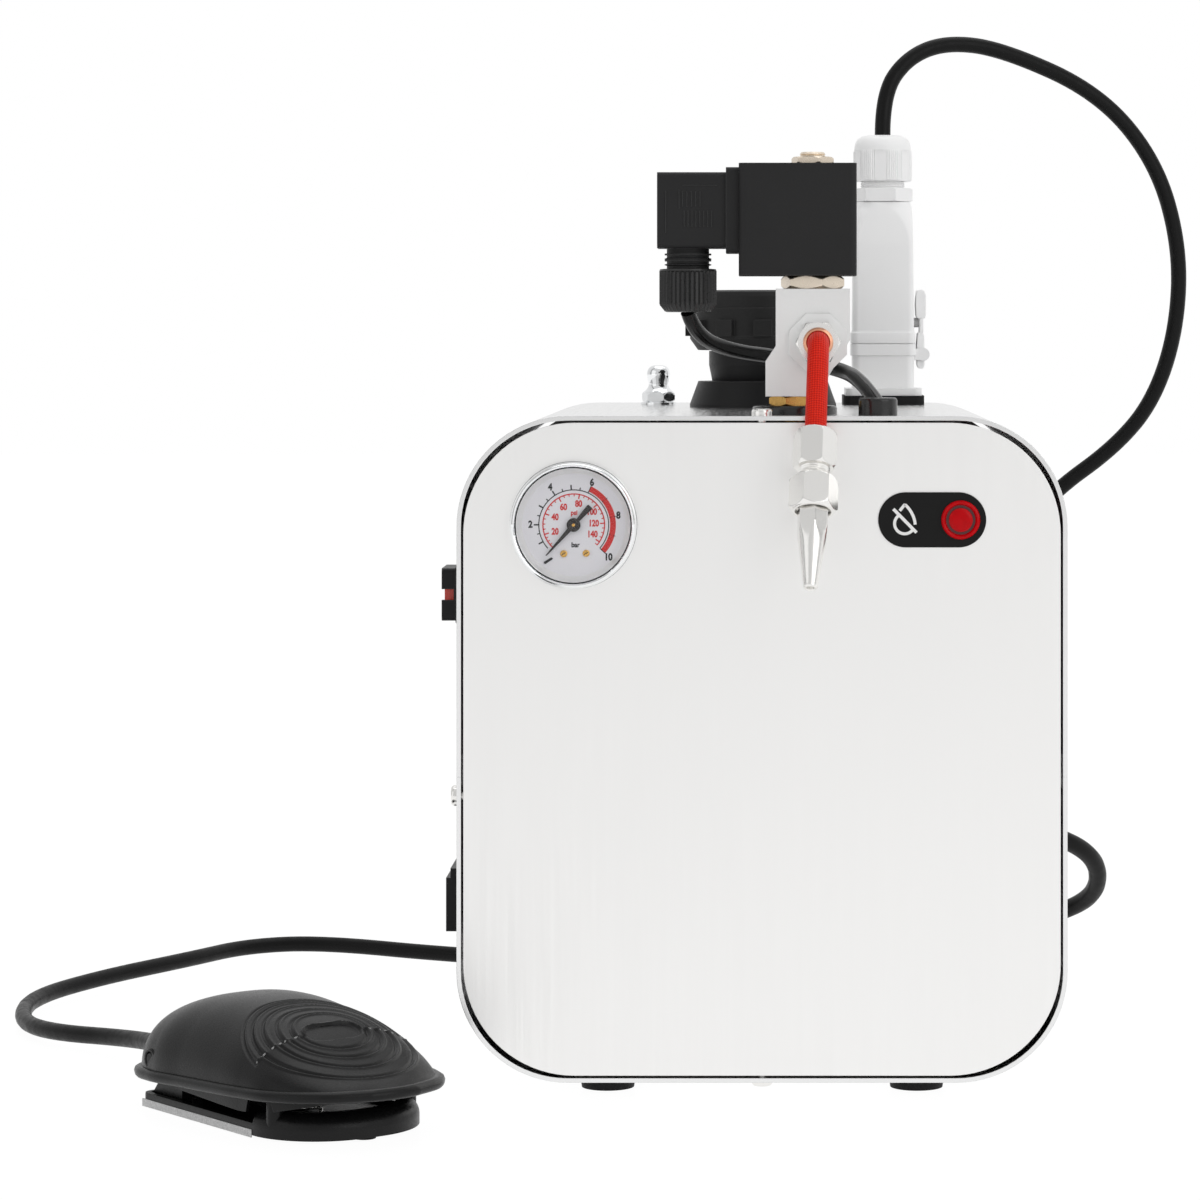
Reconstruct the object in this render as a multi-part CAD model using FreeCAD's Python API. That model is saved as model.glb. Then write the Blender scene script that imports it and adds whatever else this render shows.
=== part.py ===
import FreeCAD, Part

import math
import os

# Counter-top steam cleaner with a vertical boiler, a solenoid steam valve and a foot pedal.
# Millimetres. +Z is up, +X to the right seen from the front, +Y towards the back.
# The origin is on the counter, under the middle of the housing.

# ---------------------------------------------------------------- housing
HOUSING_WIDTH = 275.0
HOUSING_DEPTH = 325.0
HOUSING_HEIGHT = 300.0
CORNER_RADIUS = 50.0
SHELL_THICKNESS = 2.0
SPLIT_HEIGHT = 137.6
LAP_HEIGHT = 8.0
LAP_CLEARANCE = 0.15
PANEL_THICKNESS = 1.5
PANEL_GAP = 1.0
PANEL_RECESS = 0.8
PANEL_FLANGE = 22.0
FLANGE_NOTCH = 3.0
FOOT_HEIGHT = 7.0
FOOT_RADIUS = 13.0
FOOT_TAPER = 1.0
FOOT_FROM_TRAY_EDGE = 14.5
FOOT_INSET = 30.0
TRAY_FROM_CORNER = 2.5
TRAY_END_GAP = 0.7
TRAY_THICKNESS = 2.0
TRAY_LIP = 12.0
HOLE_CLEARANCE = 0.25
SEAT_CLEARANCE = 0.3

# ---------------------------------------------------------------- pan-head screws
SCREW_RADIUS = 2.5
SCREW_HEAD_RADIUS = 4.75
SCREW_HEAD_HEIGHT = 3.2
SCREW_HEAD_ROUNDING = 1.6
SCREW_LENGTH = 10.0
SCREW_CROSS = 5.0
SCREW_CROSS_WIDTH = 1.1
SCREW_FROM_EDGE = 11.0
SIDE_SCREW_DROP = 9.6

# ---------------------------------------------------------------- boiler and its fittings
FILLER_FROM_FRONT = 207.5
TANK_RADIUS = 95.0
TANK_HEADROOM = 57.0
TANK_WALL = 2.0
TANK_KNUCKLE = 20.0
STAND_HEIGHT = 34.0
STAND_RADIUS = 70.0
STAND_WALL = 3.0
STAND_WINDOW_FROM = 0.2
STAND_WINDOW_TO = 0.75
BUNG_RADIUS = 26.0
BUNG_LENGTH = 18.0
BUNG_OUTSIDE = 8.0
BUNG_ABOVE_TANK_BASE = 32.0
HEATER_PLUG_RADIUS = 20.0
HEATER_HEAD_ACROSS = 52.0
HEATER_HEAD_LENGTH = 12.0
HEATER_ROD_RADIUS = 4.0
HEATER_ROD_SPACING = 20.0
HEATER_REACH = 150.0
HEATER_STUD_RADIUS = 3.0
HEATER_STUD_LENGTH = 12.0
PIPE_RADIUS = 4.0
GAUGE_PIPE_REACH = 45.0
PRESSURE_SWITCH_X = 48.0
PRESSURE_SWITCH_FROM_FILLER = -26.0
PRESSURE_SWITCH_RADIUS = 13.0
PRESSURE_SWITCH_HEIGHT = 30.0
PRESSURE_STEM_RADIUS = 5.0
PRESSURE_STEM_HEIGHT = 8.0
THERMOSTAT_X = 52.0
THERMOSTAT_FROM_FILLER = 30.0
THERMOSTAT_RADIUS = 12.0
THERMOSTAT_HEIGHT = 10.0
TERMINAL_WIDTH = 6.3
TERMINAL_THICKNESS = 0.8
TERMINAL_HEIGHT = 9.0
TERMINAL_SPACING = 10.0

# ---------------------------------------------------------------- filler neck and cap
NECK_RADIUS = 22.0
NECK_BORE_RADIUS = 18.0
NECK_ABOVE_TOP = 43.0
SKIRT_BASE_RADIUS = 36.6
SKIRT_FOOT_HEIGHT = 1.5
SKIRT_SHOULDER_RADIUS = 32.4
SKIRT_SHOULDER_HEIGHT = 13.0
SKIRT_WAIST_RADIUS = 25.4
SKIRT_NECK_RADIUS = 27.0
SKIRT_FLARE_HEIGHT = 21.0
SKIRT_HEIGHT = 28.0
CAP_GAP = 0.5
CAP_RING_LOW_RADIUS = 32.5
CAP_RING_RADIUS = 36.5
CAP_RING_HEIGHT = 7.0
CAP_BODY_RADIUS = 36.2
CAP_BODY_HEIGHT = 14.0
CAP_LUG_RADIUS = 38.8
CAP_LUG_ROOT = 3.0
CAP_LUG_HEIGHT = 8.0
CAP_LUG_WIDTH = 9.0
CAP_LUG_COUNT = 12
CAP_TOP_RADIUS = 35.4
CAP_TOP_HEIGHT = 8.8
CAP_TOP_ROUNDING = 3.0
CAP_THREAD_CLEARANCE = 0.4
GASKET_THICKNESS = 2.0

# ---------------------------------------------------------------- relief valve
RELIEF_X = -53.8
RELIEF_FROM_FRONT = 262.0
RELIEF_WASHER_RADIUS = 9.0
RELIEF_WASHER_HEIGHT = 1.0
RELIEF_HEX_ACROSS = 17.2
RELIEF_HEX_HEIGHT = 5.0
RELIEF_NECK_RADIUS = 5.2
RELIEF_NECK_HEIGHT = 5.0
RELIEF_DOME_RADIUS = 6.5
RELIEF_DOME_HEIGHT = 9.8
RELIEF_NECK_BLEND = 1.5
RELIEF_CROWN_DROP = 3.5
RELIEF_PIPE_RADIUS = 5.0
RELIEF_BORE_RADIUS = 1.8
RELIEF_CHAMBER_RADIUS = 3.8
RELIEF_CHAMBER_HEIGHT = 8.0
RELIEF_POPPET_LENGTH = 5.0
RELIEF_POPPET_CLEARANCE = 0.35
RELIEF_VENT_RADIUS = 0.8

# ---------------------------------------------------------------- solenoid steam valve
VALVE_FROM_FRONT = 44.0
NIPPLE_X = 15.0
VALVE_SEAL_RADIUS = 19.5
VALVE_SEAL_HEIGHT = 4.0
NIPPLE_ACROSS = 24.0
NIPPLE_HEX_HEIGHT = 4.3
NIPPLE_RADIUS = 8.0
NIPPLE_BORE_RADIUS = 4.0
NIPPLE_BELOW_TOP = 22.0
NIPPLE_IN_VALVE = 8.0
VALVE_DEPTH = 30.0
VALVE_FOOT_WIDTH = 27.0
VALVE_HEAD_X = 23.2
VALVE_HEAD_WIDTH = 34.0
VALVE_HEIGHT = 49.3
VALVE_LEFT_STEP = 16.0
VALVE_LEFT_CHAMFER = 7.0
VALVE_RIGHT_STEP = 6.0
VALVE_RIGHT_CHAMFER = 20.0
PORT_X = 25.5
PORT_ABOVE_TOP = 33.0
PORT_BOSS_FLATS = 26.5
PORT_BOSS_LENGTH = 2.5
ARMATURE_HEX_ACROSS = 30.0
ARMATURE_HEX_HEIGHT = 6.0
ARMATURE_RADIUS = 7.0
ARMATURE_BORE_RADIUS = 5.0
ARMATURE_STUB_RADIUS = 6.0
ARMATURE_STUB_HEIGHT = 5.6
PLUNGER_RADIUS = 4.7
PLUNGER_LENGTH = 28.0
PLUNGER_TRAVEL = 2.4
PLUNGER_SEAT_RADIUS = 3.0
PLUNGER_SEAT_HEIGHT = 3.0
PLUNGER_ROOM = 4.0
PLUNGER_SPRING_WIRE = 1.0
PLUNGER_SUNK = 4.0
PLUNGER_SEAT_CLEARANCE = 0.4
VALVE_CHAMBER_RISE = 8.0
COIL_WIDTH = 53.9
COIL_HEIGHT = 51.4
COIL_DEPTH = 40.0
COIL_CORNER = 3.0
COIL_CLEARANCE = 0.25
COIL_NUT_ACROSS = 20.0
COIL_NUT_HEIGHT = 3.2
PLUG_FLANGE_WIDTH = 5.9
PLUG_FLANGE_HEIGHT = 39.3
PLUG_FLANGE_DEPTH = 31.0
PLUG_WIDTH = 31.5
PLUG_HEIGHT = 34.8
PLUG_DEPTH = 28.0
PLUG_TOP_DROP = 4.0
PLUG_CORNER = 2.5
PLUG_NECK_RADIUS = 9.75
PLUG_NECK_HEIGHT = 9.3
PLUG_RING_OUT = 1.0
PLUG_RING_HEIGHT = 0.8
PLUG_NECK_INSET = 17.6
GLAND_NUT_RADIUS = 13.2
GLAND_NUT_HEIGHT = 20.0
GLAND_NUT_RIBS = 20
GLAND_RIB_DEPTH = 0.9
GLAND_RIB_WIDTH = 1.6
GLAND_CHAMFER = 3.0
VALVE_CABLE_RADIUS = 3.5
BUSH_X = 52.7
BUSH_FROM_FRONT = 20.0
BUSH_RADIUS = 8.85
BUSH_HEIGHT = 8.0
BUSH_STEM_RADIUS = 6.5
BUSH_STEM_LENGTH = 12.0
BUSH_ROUNDING = 1.5

# ---------------------------------------------------------------- nozzle
PORT_NUT_ACROSS = 21.0
PORT_NUT_LENGTH = 7.0
FERRULE_RADIUS = 6.4
FERRULE_LENGTH = 2.0
STEAM_TUBE_RADIUS = 3.0
SLEEVE_RADIUS = 5.1
TUBE_FORWARD = 15.5
TUBE_DOWN = 45.0
NOZZLE_TILT = 28.0
NOZZLE_LEAN = 2.0
COMPRESSION_ACROSS = 19.5
COMPRESSION_LENGTH = 19.0
UNION_NECK_RADIUS = 7.0
UNION_NECK_LENGTH = 2.5
UNION_ACROSS = 22.0
UNION_LENGTH = 18.0
UNION_THREAD = 6.0
NOZZLE_ACROSS = 14.4
NOZZLE_LENGTH = 9.0
NOZZLE_TAPER_LENGTH = 28.0
NOZZLE_TIP_RADIUS = 3.0
NOZZLE_BORE_RADIUS = 1.0

# ---------------------------------------------------------------- pedal connector
CONNECTOR_X = 62.0
CONNECTOR_FROM_FRONT = 287.0
CONNECTOR_PAD_WIDTH = 41.7
CONNECTOR_PAD_LENGTH = 50.0
CONNECTOR_PAD_HEIGHT = 4.6
CONNECTOR_FLANGE_WIDTH = 39.4
CONNECTOR_FLANGE_LENGTH = 47.0
CONNECTOR_FLANGE_HEIGHT = 3.7
CONNECTOR_WIDTH = 31.8
CONNECTOR_BASE_HEIGHT = 22.9
CONNECTOR_BEAD = 0.8
CONNECTOR_BEAD_HEIGHT = 6.0
CONNECTOR_CORNER = 4.0
HOOD_HEIGHT = 73.8
HOOD_CORNER = 6.0
HOOD_SHAVE = 4.0
HOOD_SHAVE_FROM = 0.6
HOOD_SPIGOT_WIDTH = 24.0
HOOD_SPIGOT_DEPTH = 14.0
HOOD_SPIGOT_CLEARANCE = 0.4
HOOD_HEX_ACROSS = 34.5
HOOD_HEX_HEIGHT = 6.9
HOOD_THREAD_RADIUS = 12.5
HOOD_THREAD_HEIGHT = 3.6
CORD_NUT_RADIUS = 15.0
CORD_NUT_HEIGHT = 16.4
CORD_NUT_DOME = 7.7
CORD_NUT_RIBS = 24
LEVER_THICKNESS = 2.6
LEVER_GAP = 0.5
LEVER_PIVOT_HEIGHT = 17.5
LEVER_PIVOT_RADIUS = 3.4
LEVER_PIN_RADIUS = 1.6
LEVER_PIN_CLEARANCE = 0.06
LEVER_WIDTH = 18.0
LEVER_TOP_HEIGHT = 50.0
LEVER_WING_HEIGHT = 14.0
LEVER_WING_OUT = 4.0
LEVER_EAR_HALF_HEIGHT = 3.0
LEVER_PEG_HEIGHT = 34.0
LEVER_PEG_REACH = 4.6
LEVER_PEG_RADIUS = 2.5
LEVER_SLOT_MARGIN = 1.5

# ---------------------------------------------------------------- pressure gauge
GAUGE_X = -84.8
GAUGE_ABOVE_BASE = 251.0
BEZEL_RADIUS = 28.0
BEZEL_HEIGHT = 7.0
BEZEL_OPENING_RADIUS = 25.0
BEZEL_ROUNDING = 0.6
GAUGE_BARREL_RADIUS = 26.0
GAUGE_BARREL_DEPTH = 25.0
GAUGE_WALL = 1.4
DIAL_LEDGE = 2.5
DIAL_THICKNESS = 0.8
DIAL_DEPTH = 0.8
GAUGE_FLOOR = 3.0
GLASS_THICKNESS = 1.5
GLASS_HEIGHT = 3.4
GLASS_GROOVE = 0.8
GAUGE_STEM_RADIUS = 6.5
GAUGE_STEM_LENGTH = 14.0
NEEDLE_LENGTH = 18.5
NEEDLE_TAIL = 8.5
NEEDLE_WIDTH = 2.2
NEEDLE_TIP_WIDTH = 0.6
NEEDLE_THICKNESS = 0.5
NEEDLE_HEIGHT = 0.9
NEEDLE_HUB_RADIUS = 2.7
ARBOR_RADIUS = 0.6
ARBOR_DEPTH = 6.0
ARBOR_CLEARANCE = 0.05
MOVEMENT_POST_RADIUS = 4.0
NEEDLE_REST_ANGLE = 225.0
STOP_PIN_ANGLE = 233.0
STOP_PIN_REACH = 14.5
STOP_PIN_RADIUS = 0.5
STOP_PIN_HEIGHT = 1.6

# ---------------------------------------------------------------- water lamp
PLATE_X = 76.6
PLATE_ABOVE_BASE = 253.3
PLATE_WIDTH = 48.6
PLATE_HEIGHT = 24.8
PLATE_THICKNESS = 1.0
LAMP_FROM_PLATE_CENTRE = 13.0
LAMP_RIM_RADIUS = 8.8
LAMP_RIM_HEIGHT = 2.2
LAMP_LENS_RADIUS = 5.4
LAMP_LENS_HEIGHT = 3.0
LAMP_BODY_RADIUS = 6.0
LAMP_BODY_DEPTH = 24.0

# ---------------------------------------------------------------- side switch and breaker
SWITCH_FROM_FRONT = 41.0
SWITCH_ABOVE_BASE = 218.0
SWITCH_HEIGHT = 26.0
SWITCH_LENGTH = 34.0
SWITCH_FLANGE = 2.3
SWITCH_GUARD = 8.7
SWITCH_GUARD_INSET = 1.0
SWITCH_BODY_HEIGHT = 21.5
SWITCH_BODY_LENGTH = 29.0
SWITCH_BODY_DEPTH = 26.0
SWITCH_CORNER = 2.0
SWITCH_NOTCH = 5.0
SWITCH_NOTCH_DEPTH = 5.5
ROCKER_WIDTH = 14.5
ROCKER_RADIUS = 12.0
ROCKER_CLEARANCE = 0.4
ROCKER_PIVOT_OUT = 1.0
ROCKER_CROWN = 5.5
ROCKER_SHAFT_RADIUS = 1.5
ROCKER_SHAFT_CLEARANCE = 0.06
ROCKER_THROW = 16.0
BREAKER_FROM_FRONT = 43.0
BREAKER_ABOVE_BASE = 64.6
BREAKER_HEIGHT = 28.7
BREAKER_LENGTH = 38.0
BREAKER_STEP_HEIGHT = 4.3
BREAKER_STEP_OUT = 4.6
BREAKER_OUT = 6.6
BREAKER_BODY_HEIGHT = 22.0
BREAKER_BODY_LENGTH = 31.0
BREAKER_BODY_DEPTH = 36.0
BREAKER_WELL_RADIUS = 7.5
BREAKER_WELL_DEPTH = 3.5
BREAKER_BUTTON_RADIUS = 4.5
BREAKER_BUTTON_OUT = 3.0
BREAKER_BUTTON_LENGTH = 16.0
BREAKER_BUTTON_TRAVEL = 2.5
BREAKER_BUTTON_CLEARANCE = 0.3

# ---------------------------------------------------------------- mains lead
MAINS_FROM_SIDE = 25.5
MAINS_HEIGHT = 86.0
VENT_COUNT = 6
VENT_LENGTH = 48.0
VENT_WIDTH = 3.0
VENT_PITCH = 9.0
MAINS_CORD_RADIUS = 5.0
RELIEF_FLANGE_RADIUS = 12.0
RELIEF_FLANGE_THICKNESS = 2.5
RELIEF_BASE_RADIUS = 9.0
RELIEF_TIP_RADIUS = 6.2
RELIEF_LENGTH = 22.5
RELIEF_INSIDE = 9.0
COIL_FROM_RELIEF = 52.0
COIL_BEHIND = 107.5
COIL_MIDDLE_RADIUS = 60.0
COIL_TURNS_ACROSS = 2
COIL_TURNS_HIGH = 2
COIL_SLACK = 1.0
MAINS_PLUG_BOOT = 30.0
MAINS_PLUG_BOOT_RADIUS = 7.0
MAINS_PLUG_LENGTH = 36.0
MAINS_PLUG_WIDTH = 28.0
MAINS_PLUG_THICKNESS = 24.0
MAINS_BLADE_LENGTH = 17.0
MAINS_BLADE_WIDTH = 6.3
MAINS_BLADE_THICKNESS = 1.5
MAINS_BLADE_SPACING = 12.7
MAINS_PIN_RADIUS = 2.4
MAINS_PIN_LENGTH = 20.0
MAINS_PIN_RISE = 9.5
MAINS_BLADE_DROP = 3.0
MAINS_PLUG_CORNER = 6.0

# The lead's middle line, by hand: out of the relief, one open bend, then along the counter.
# Measured across from the relief, back from the housing and up from the counter.
MAINS_ROUTE = [
    (0.0, 22.5, 86.0),
    (9.0, 57.5, 82.5),
    (39.0, 84.5, 71.0),
    (72.0, 108.5, 54.5),
    (76.5, 134.5, 30.0),
    (57.5, 159.5, 14.0),
    (18.0, 169.5, 5.5),
    (-16.0, 167.5, 5.2),
]

# ---------------------------------------------------------------- foot pedal
PEDAL_REAR_X = -246.0
PEDAL_REAR_Y = -157.5
PEDAL_HEADING = -51.3
PEDAL_PAD_RADIUS = 5.0
PEDAL_PAD_HEIGHT = 1.6
PEDAL_PAD_INSET = 14.0
PEDAL_TOE_PAD_INSET = 8.5
PEDAL_BASE_WIDTH = 78.0
PEDAL_BASE_LENGTH = 130.0
PEDAL_BASE_HEIGHT = 11.0
PEDAL_BASE_WALL = 2.5
PEDAL_REAR_CORNER = 5.0
PEDAL_TOE_CORNER = 35.0
PEDAL_TOE_LENGTH = 36.0
PEDAL_SHOULDER = 7.0
PEDAL_SIDE_HEIGHT = 5.2
PEDAL_CHEEK_FROM = 7.0
PEDAL_CHEEK_LENGTH = 20.0
PEDAL_CHEEK_THICKNESS = 5.0
PEDAL_CHEEK_SIDE = 29.0
PEDAL_CHEEK_OVER_PIN = 2.5
PEDAL_TURRET_LENGTH = 24.0
PEDAL_TURRET_WIDTH = 44.0
PEDAL_TURRET_HEIGHT = 26.0
PEDAL_PIVOT_ALONG = 15.0
PEDAL_PIVOT_HEIGHT = 23.5
PEDAL_PIN_RADIUS = 3.0
PEDAL_PIN_CLEARANCE = 0.08
PEDAL_PIN_LENGTH = 84.0
PEDAL_THROW = 2.5
COVER_REAR = -12.0
COVER_LENGTH = 156.0
COVER_HALF_WIDTH = 44.5
COVER_HEIGHT = 36.0
COVER_FULLNESS = 2.6
COVER_ARCH_POINTS = 10
COVER_WALL = 2.6
COVER_RIM_HEIGHT = 4.5
COVER_RIM_OUT = 2.5
COVER_RIM_CLEARANCE = 2.0
COVER_SKIRT_DROP = 5.7
COVER_SKIRT_START = 20.0
COVER_SKIRT_FULL = 90.0
COVER_SKIRT_SET_BACK = 0.5
COVER_LUG_THICKNESS = 4.0
COVER_LUG_GAP = 0.6
COVER_LUG_RADIUS = 7.0
COVER_NOTCH_ROOM = 2.5
PEDAL_SPRING_ALONG = 78.0
PEDAL_SPRING_RADIUS = 6.0
PEDAL_SPRING_WIRE = 1.2
PEDAL_SPRING_SEAT = 10.0
PEDAL_SWITCH_ALONG = 46.0
PEDAL_SWITCH_LENGTH = 28.0
PEDAL_SWITCH_WIDTH = 16.0
PEDAL_SWITCH_HEIGHT = 15.0
PEDAL_SWITCH_TIP = 2.0
PEDAL_NOSE_RADIUS = 3.0
PEDAL_NOSE_GAP = 0.4
PEDAL_PEG_ALONG = 104.0
PEDAL_PEG_SIDE = 34.0
PEDAL_PEG_RADIUS = 3.6
PEDAL_PEG_TOP = 17.5
PEDAL_PEG_ROOM = 4.5
PEDAL_CORD_RADIUS = 4.1
PEDAL_CORD_HEIGHT = 19.0
PEDAL_BOSS_RADIUS = 6.5
PEDAL_BOSS_REACH = 12.0

# The cover from rear to toe: share of its length, of its half width and of its height.
COVER_STATIONS = [
    (0.0, 0.55, 0.56), (0.03, 0.74, 0.68), (0.09, 0.90, 0.82), (0.20, 1.0, 0.96),
    (0.35, 1.0, 1.0), (0.50, 1.0, 0.92), (0.65, 0.99, 0.77), (0.80, 0.92, 0.47),
    (0.90, 0.74, 0.27), (0.96, 0.52, 0.17), (1.0, 0.22, 0.10),
]

# The pedal cord's middle line, by hand, in two stretches. The first goes up out of the connector,
# over in an arch and down behind the housing, measured from where it leaves the connector.
PEDAL_CORD_ARCH = [
    (0.0, 0.0, 0.0),
    (0.0, 1.5, 21.4),
    (12.5, 6.5, 40.4),
    (33.0, 13.5, 49.4),
    (63.0, 21.5, 46.4),
    (114.5, 28.5, 23.9),
    (145.5, 33.5, -12.6),
    (158.5, 37.5, -58.1),
    (157.0, 43.5, -102.1),
    (145.5, 53.5, -139.6),
    (125.5, 65.5, -164.6),
    (94.0, 75.5, -188.1),
    (60.5, 82.5, -225.1),
    (30.0, 84.5, -276.6),
    (0.0, 81.5, -334.6),
]

# The second goes along the counter and back into the rear of the pedal.
PEDAL_CORD_FLOOR = [
    (25.0, 200.0, 58.0),
    (-25.0, 195.0, 20.0),
    (-85.0, 196.0, 5.0),
    (-170.0, 207.0, 8.0),
    (-240.5, 227.5, 11.5),
    (-280.5, 218.5, 11.0),
    (-306.0, 174.5, 10.5),
    (-343.5, 124.5, 9.0),
    (-371.0, 75.5, 6.5),
    (-368.0, 20.5, 5.0),
    (-347.0, -23.5, 6.0),
    (-297.0, -65.5, 10.0),
    (-270.5, -126.5, 17.0),
    (-253.5, -148.1, 19.0),
]

# The valve cable's middle line: down out of its gland, round behind the valve body, over into
# the bush. Measured across, back from the housing's front and up from its top.
VALVE_CABLE_ROUTE = [
    (-34.2, 44.0, 46.9),
    (-31.0, 50.5, 36.5),
    (-15.5, 66.0, 29.0),
    (8.0, 72.0, 26.0),
    (37.0, 65.5, 20.5),
    (46.5, 35.5, 14.5),
    (52.7, 20.0, 5.0),
]

# ---------------------------------------------------------------- places worked out from the sizes
FRONT_Y = -HOUSING_DEPTH / 2
BACK_Y = HOUSING_DEPTH / 2
BASE_Z = FOOT_HEIGHT
TOP_Z = BASE_Z + HOUSING_HEIGHT
MIDDLE_Z = BASE_Z + HOUSING_HEIGHT / 2
SPLIT_Z = BASE_Z + SPLIT_HEIGHT
INNER_X = HOUSING_WIDTH / 2 - SHELL_THICKNESS
TRAY_WIDTH = HOUSING_WIDTH - 2 * (CORNER_RADIUS + TRAY_FROM_CORNER)
TRAY_LENGTH = HOUSING_DEPTH - 2 * (PANEL_RECESS + PANEL_FLANGE + TRAY_END_GAP)
FOOT_X = TRAY_WIDTH / 2 - FOOT_FROM_TRAY_EDGE
PANEL_INSET = SHELL_THICKNESS + PANEL_GAP
TRAY_Z = BASE_Z + SHELL_THICKNESS
TRAY_TOP = TRAY_Z + TRAY_THICKNESS
SIDE_SCREW_Z = SPLIT_Z - SIDE_SCREW_DROP
PANEL_FACE = FRONT_Y + PANEL_RECESS
FILLER_Y = FRONT_Y + FILLER_FROM_FRONT
TANK_Z = TRAY_TOP + STAND_HEIGHT
TANK_TOP = TOP_Z - TANK_HEADROOM
NECK_TOP = TOP_Z + NECK_ABOVE_TOP
CAP_Z = TOP_Z + SKIRT_HEIGHT + CAP_GAP
VALVE_Y = FRONT_Y + VALVE_FROM_FRONT
VALVE_Z = TOP_Z + VALVE_SEAL_HEIGHT + NIPPLE_HEX_HEIGHT
VALVE_TOP = VALVE_Z + VALVE_HEIGHT
PORT_Z = TOP_Z + PORT_ABOVE_TOP
COIL_Z = VALVE_TOP + ARMATURE_HEX_HEIGHT
COIL_TOP = COIL_Z + COIL_HEIGHT
COIL_RIGHT = VALVE_HEAD_X + COIL_DEPTH / 2
COIL_LEFT = COIL_RIGHT - COIL_WIDTH
PLUG_RIGHT = COIL_LEFT - PLUG_FLANGE_WIDTH
PLUG_X = PLUG_RIGHT - PLUG_NECK_INSET
PLUG_TOP = COIL_TOP - PLUG_TOP_DROP
PLUG_Z = PLUG_TOP - PLUG_HEIGHT
RELIEF_Y = FRONT_Y + RELIEF_FROM_FRONT
BUSH_Y = FRONT_Y + BUSH_FROM_FRONT
CONNECTOR_Y = FRONT_Y + CONNECTOR_FROM_FRONT
CONNECTOR_BASE_Z = TOP_Z + CONNECTOR_PAD_HEIGHT + CONNECTOR_FLANGE_HEIGHT
CONNECTOR_SEAM_Z = CONNECTOR_BASE_Z + CONNECTOR_BASE_HEIGHT
HOOD_TOP = CONNECTOR_SEAM_Z + HOOD_HEIGHT
CORD_NUT_Z = HOOD_TOP + HOOD_HEX_HEIGHT + HOOD_THREAD_HEIGHT
CORD_NUT_TOP = CORD_NUT_Z + CORD_NUT_HEIGHT + CORD_NUT_DOME
GAUGE_Z = BASE_Z + GAUGE_ABOVE_BASE
PLATE_Z = BASE_Z + PLATE_ABOVE_BASE
LAMP_X = PLATE_X + LAMP_FROM_PLATE_CENTRE
SWITCH_Y = FRONT_Y + SWITCH_FROM_FRONT
SWITCH_Z = BASE_Z + SWITCH_ABOVE_BASE
BREAKER_Y = FRONT_Y + BREAKER_FROM_FRONT
BREAKER_Z = BASE_Z + BREAKER_ABOVE_BASE + BREAKER_HEIGHT / 2
MAINS_X = HOUSING_WIDTH / 2 - MAINS_FROM_SIDE
COIL_CENTRE_X = MAINS_X - COIL_FROM_RELIEF
COIL_CENTRE_Y = BACK_Y + COIL_BEHIND
PEDAL_FLOOR = PEDAL_PAD_HEIGHT
PEDAL_BASE_TOP = PEDAL_FLOOR + PEDAL_BASE_HEIGHT

QUARTER = 90.0
X = FreeCAD.Vector(1, 0, 0)
Y = FreeCAD.Vector(0, 1, 0)
Z = FreeCAD.Vector(0, 0, 1)


# ---------------------------------------------------------------- building blocks
def vec(x, y, z):
    return FreeCAD.Vector(x, y, z)


def block(x, y, z):
    """A box between the low and high value of each pair."""
    return Part.makeBox(x[1] - x[0], y[1] - y[0], z[1] - z[0], vec(x[0], y[0], z[0]))


def rod(radius, start, end):
    """A round bar from one point to another."""
    return Part.makeCylinder(radius, (end - start).Length, start, end - start)


def ring(outer, inner, start, end):
    """A round bar with a hole along it."""
    return rod(outer, start, end).cut(rod(inner, start, end))


def taper(start_radius, end_radius, start, end):
    """A cone from one point to another."""
    return Part.makeCone(start_radius, end_radius, (end - start).Length, start, end - start)


def join(shapes):
    """One solid from several that touch or overlap."""
    return shapes[0].multiFuse(shapes[1:]).removeSplitter()


def placed(shape, origin, x_way, y_way):
    """Carry a shape drawn at the origin to a place, with its x and y turned to the given ways."""
    z_way = x_way.cross(y_way)
    turn = FreeCAD.Rotation(x_way, y_way, z_way, "XYZ")
    result = shape.copy()
    result.Placement = FreeCAD.Placement(origin, turn).multiply(result.Placement)
    return result


def on_front(shape, x, z):
    """Drawn with x right, y up and z out of the front panel."""
    return placed(shape, vec(x, PANEL_FACE, z), X, Z)


def on_left(shape, y, z):
    """Drawn with x to the front, y up and z out of the left wall."""
    return placed(shape, vec(-HOUSING_WIDTH / 2, y, z), -Y, Z)


def on_top(shape, x, y):
    """Drawn with z up out of the top."""
    return placed(shape, vec(x, y, TOP_Z), X, Y)


def rounded_face(width, height, radius, x=0.0, y=0.0):
    """A flat rounded rectangle round (x, y)."""
    half_w = width / 2
    half_h = height / 2
    r = min(radius, half_w * 0.999, half_h * 0.999)
    corners = [(half_w - r, half_h - r, 0), (r - half_w, half_h - r, QUARTER)]
    corners += [(r - half_w, r - half_h, 2 * QUARTER), (half_w - r, r - half_h, 3 * QUARTER)]
    arcs = [Part.makeCircle(r, vec(x + cx, y + cy, 0), Z, a, a + QUARTER) for cx, cy, a in corners]
    edges = []
    for arc, following in zip(arcs, arcs[1:] + arcs[:1]):
        edges.append(arc)
        edges.append(Part.makeLine(arc.Vertexes[-1].Point, following.Vertexes[0].Point))
    return Part.Face(Part.Wire(edges))


def slab(width, height, radius, low, high, x=0.0, y=0.0):
    """A rounded rectangle carried from one height to another."""
    shape = rounded_face(width, height, radius, x, y).extrude(vec(0, 0, high - low))
    return placed(shape, vec(0, 0, low), X, Y)


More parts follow.
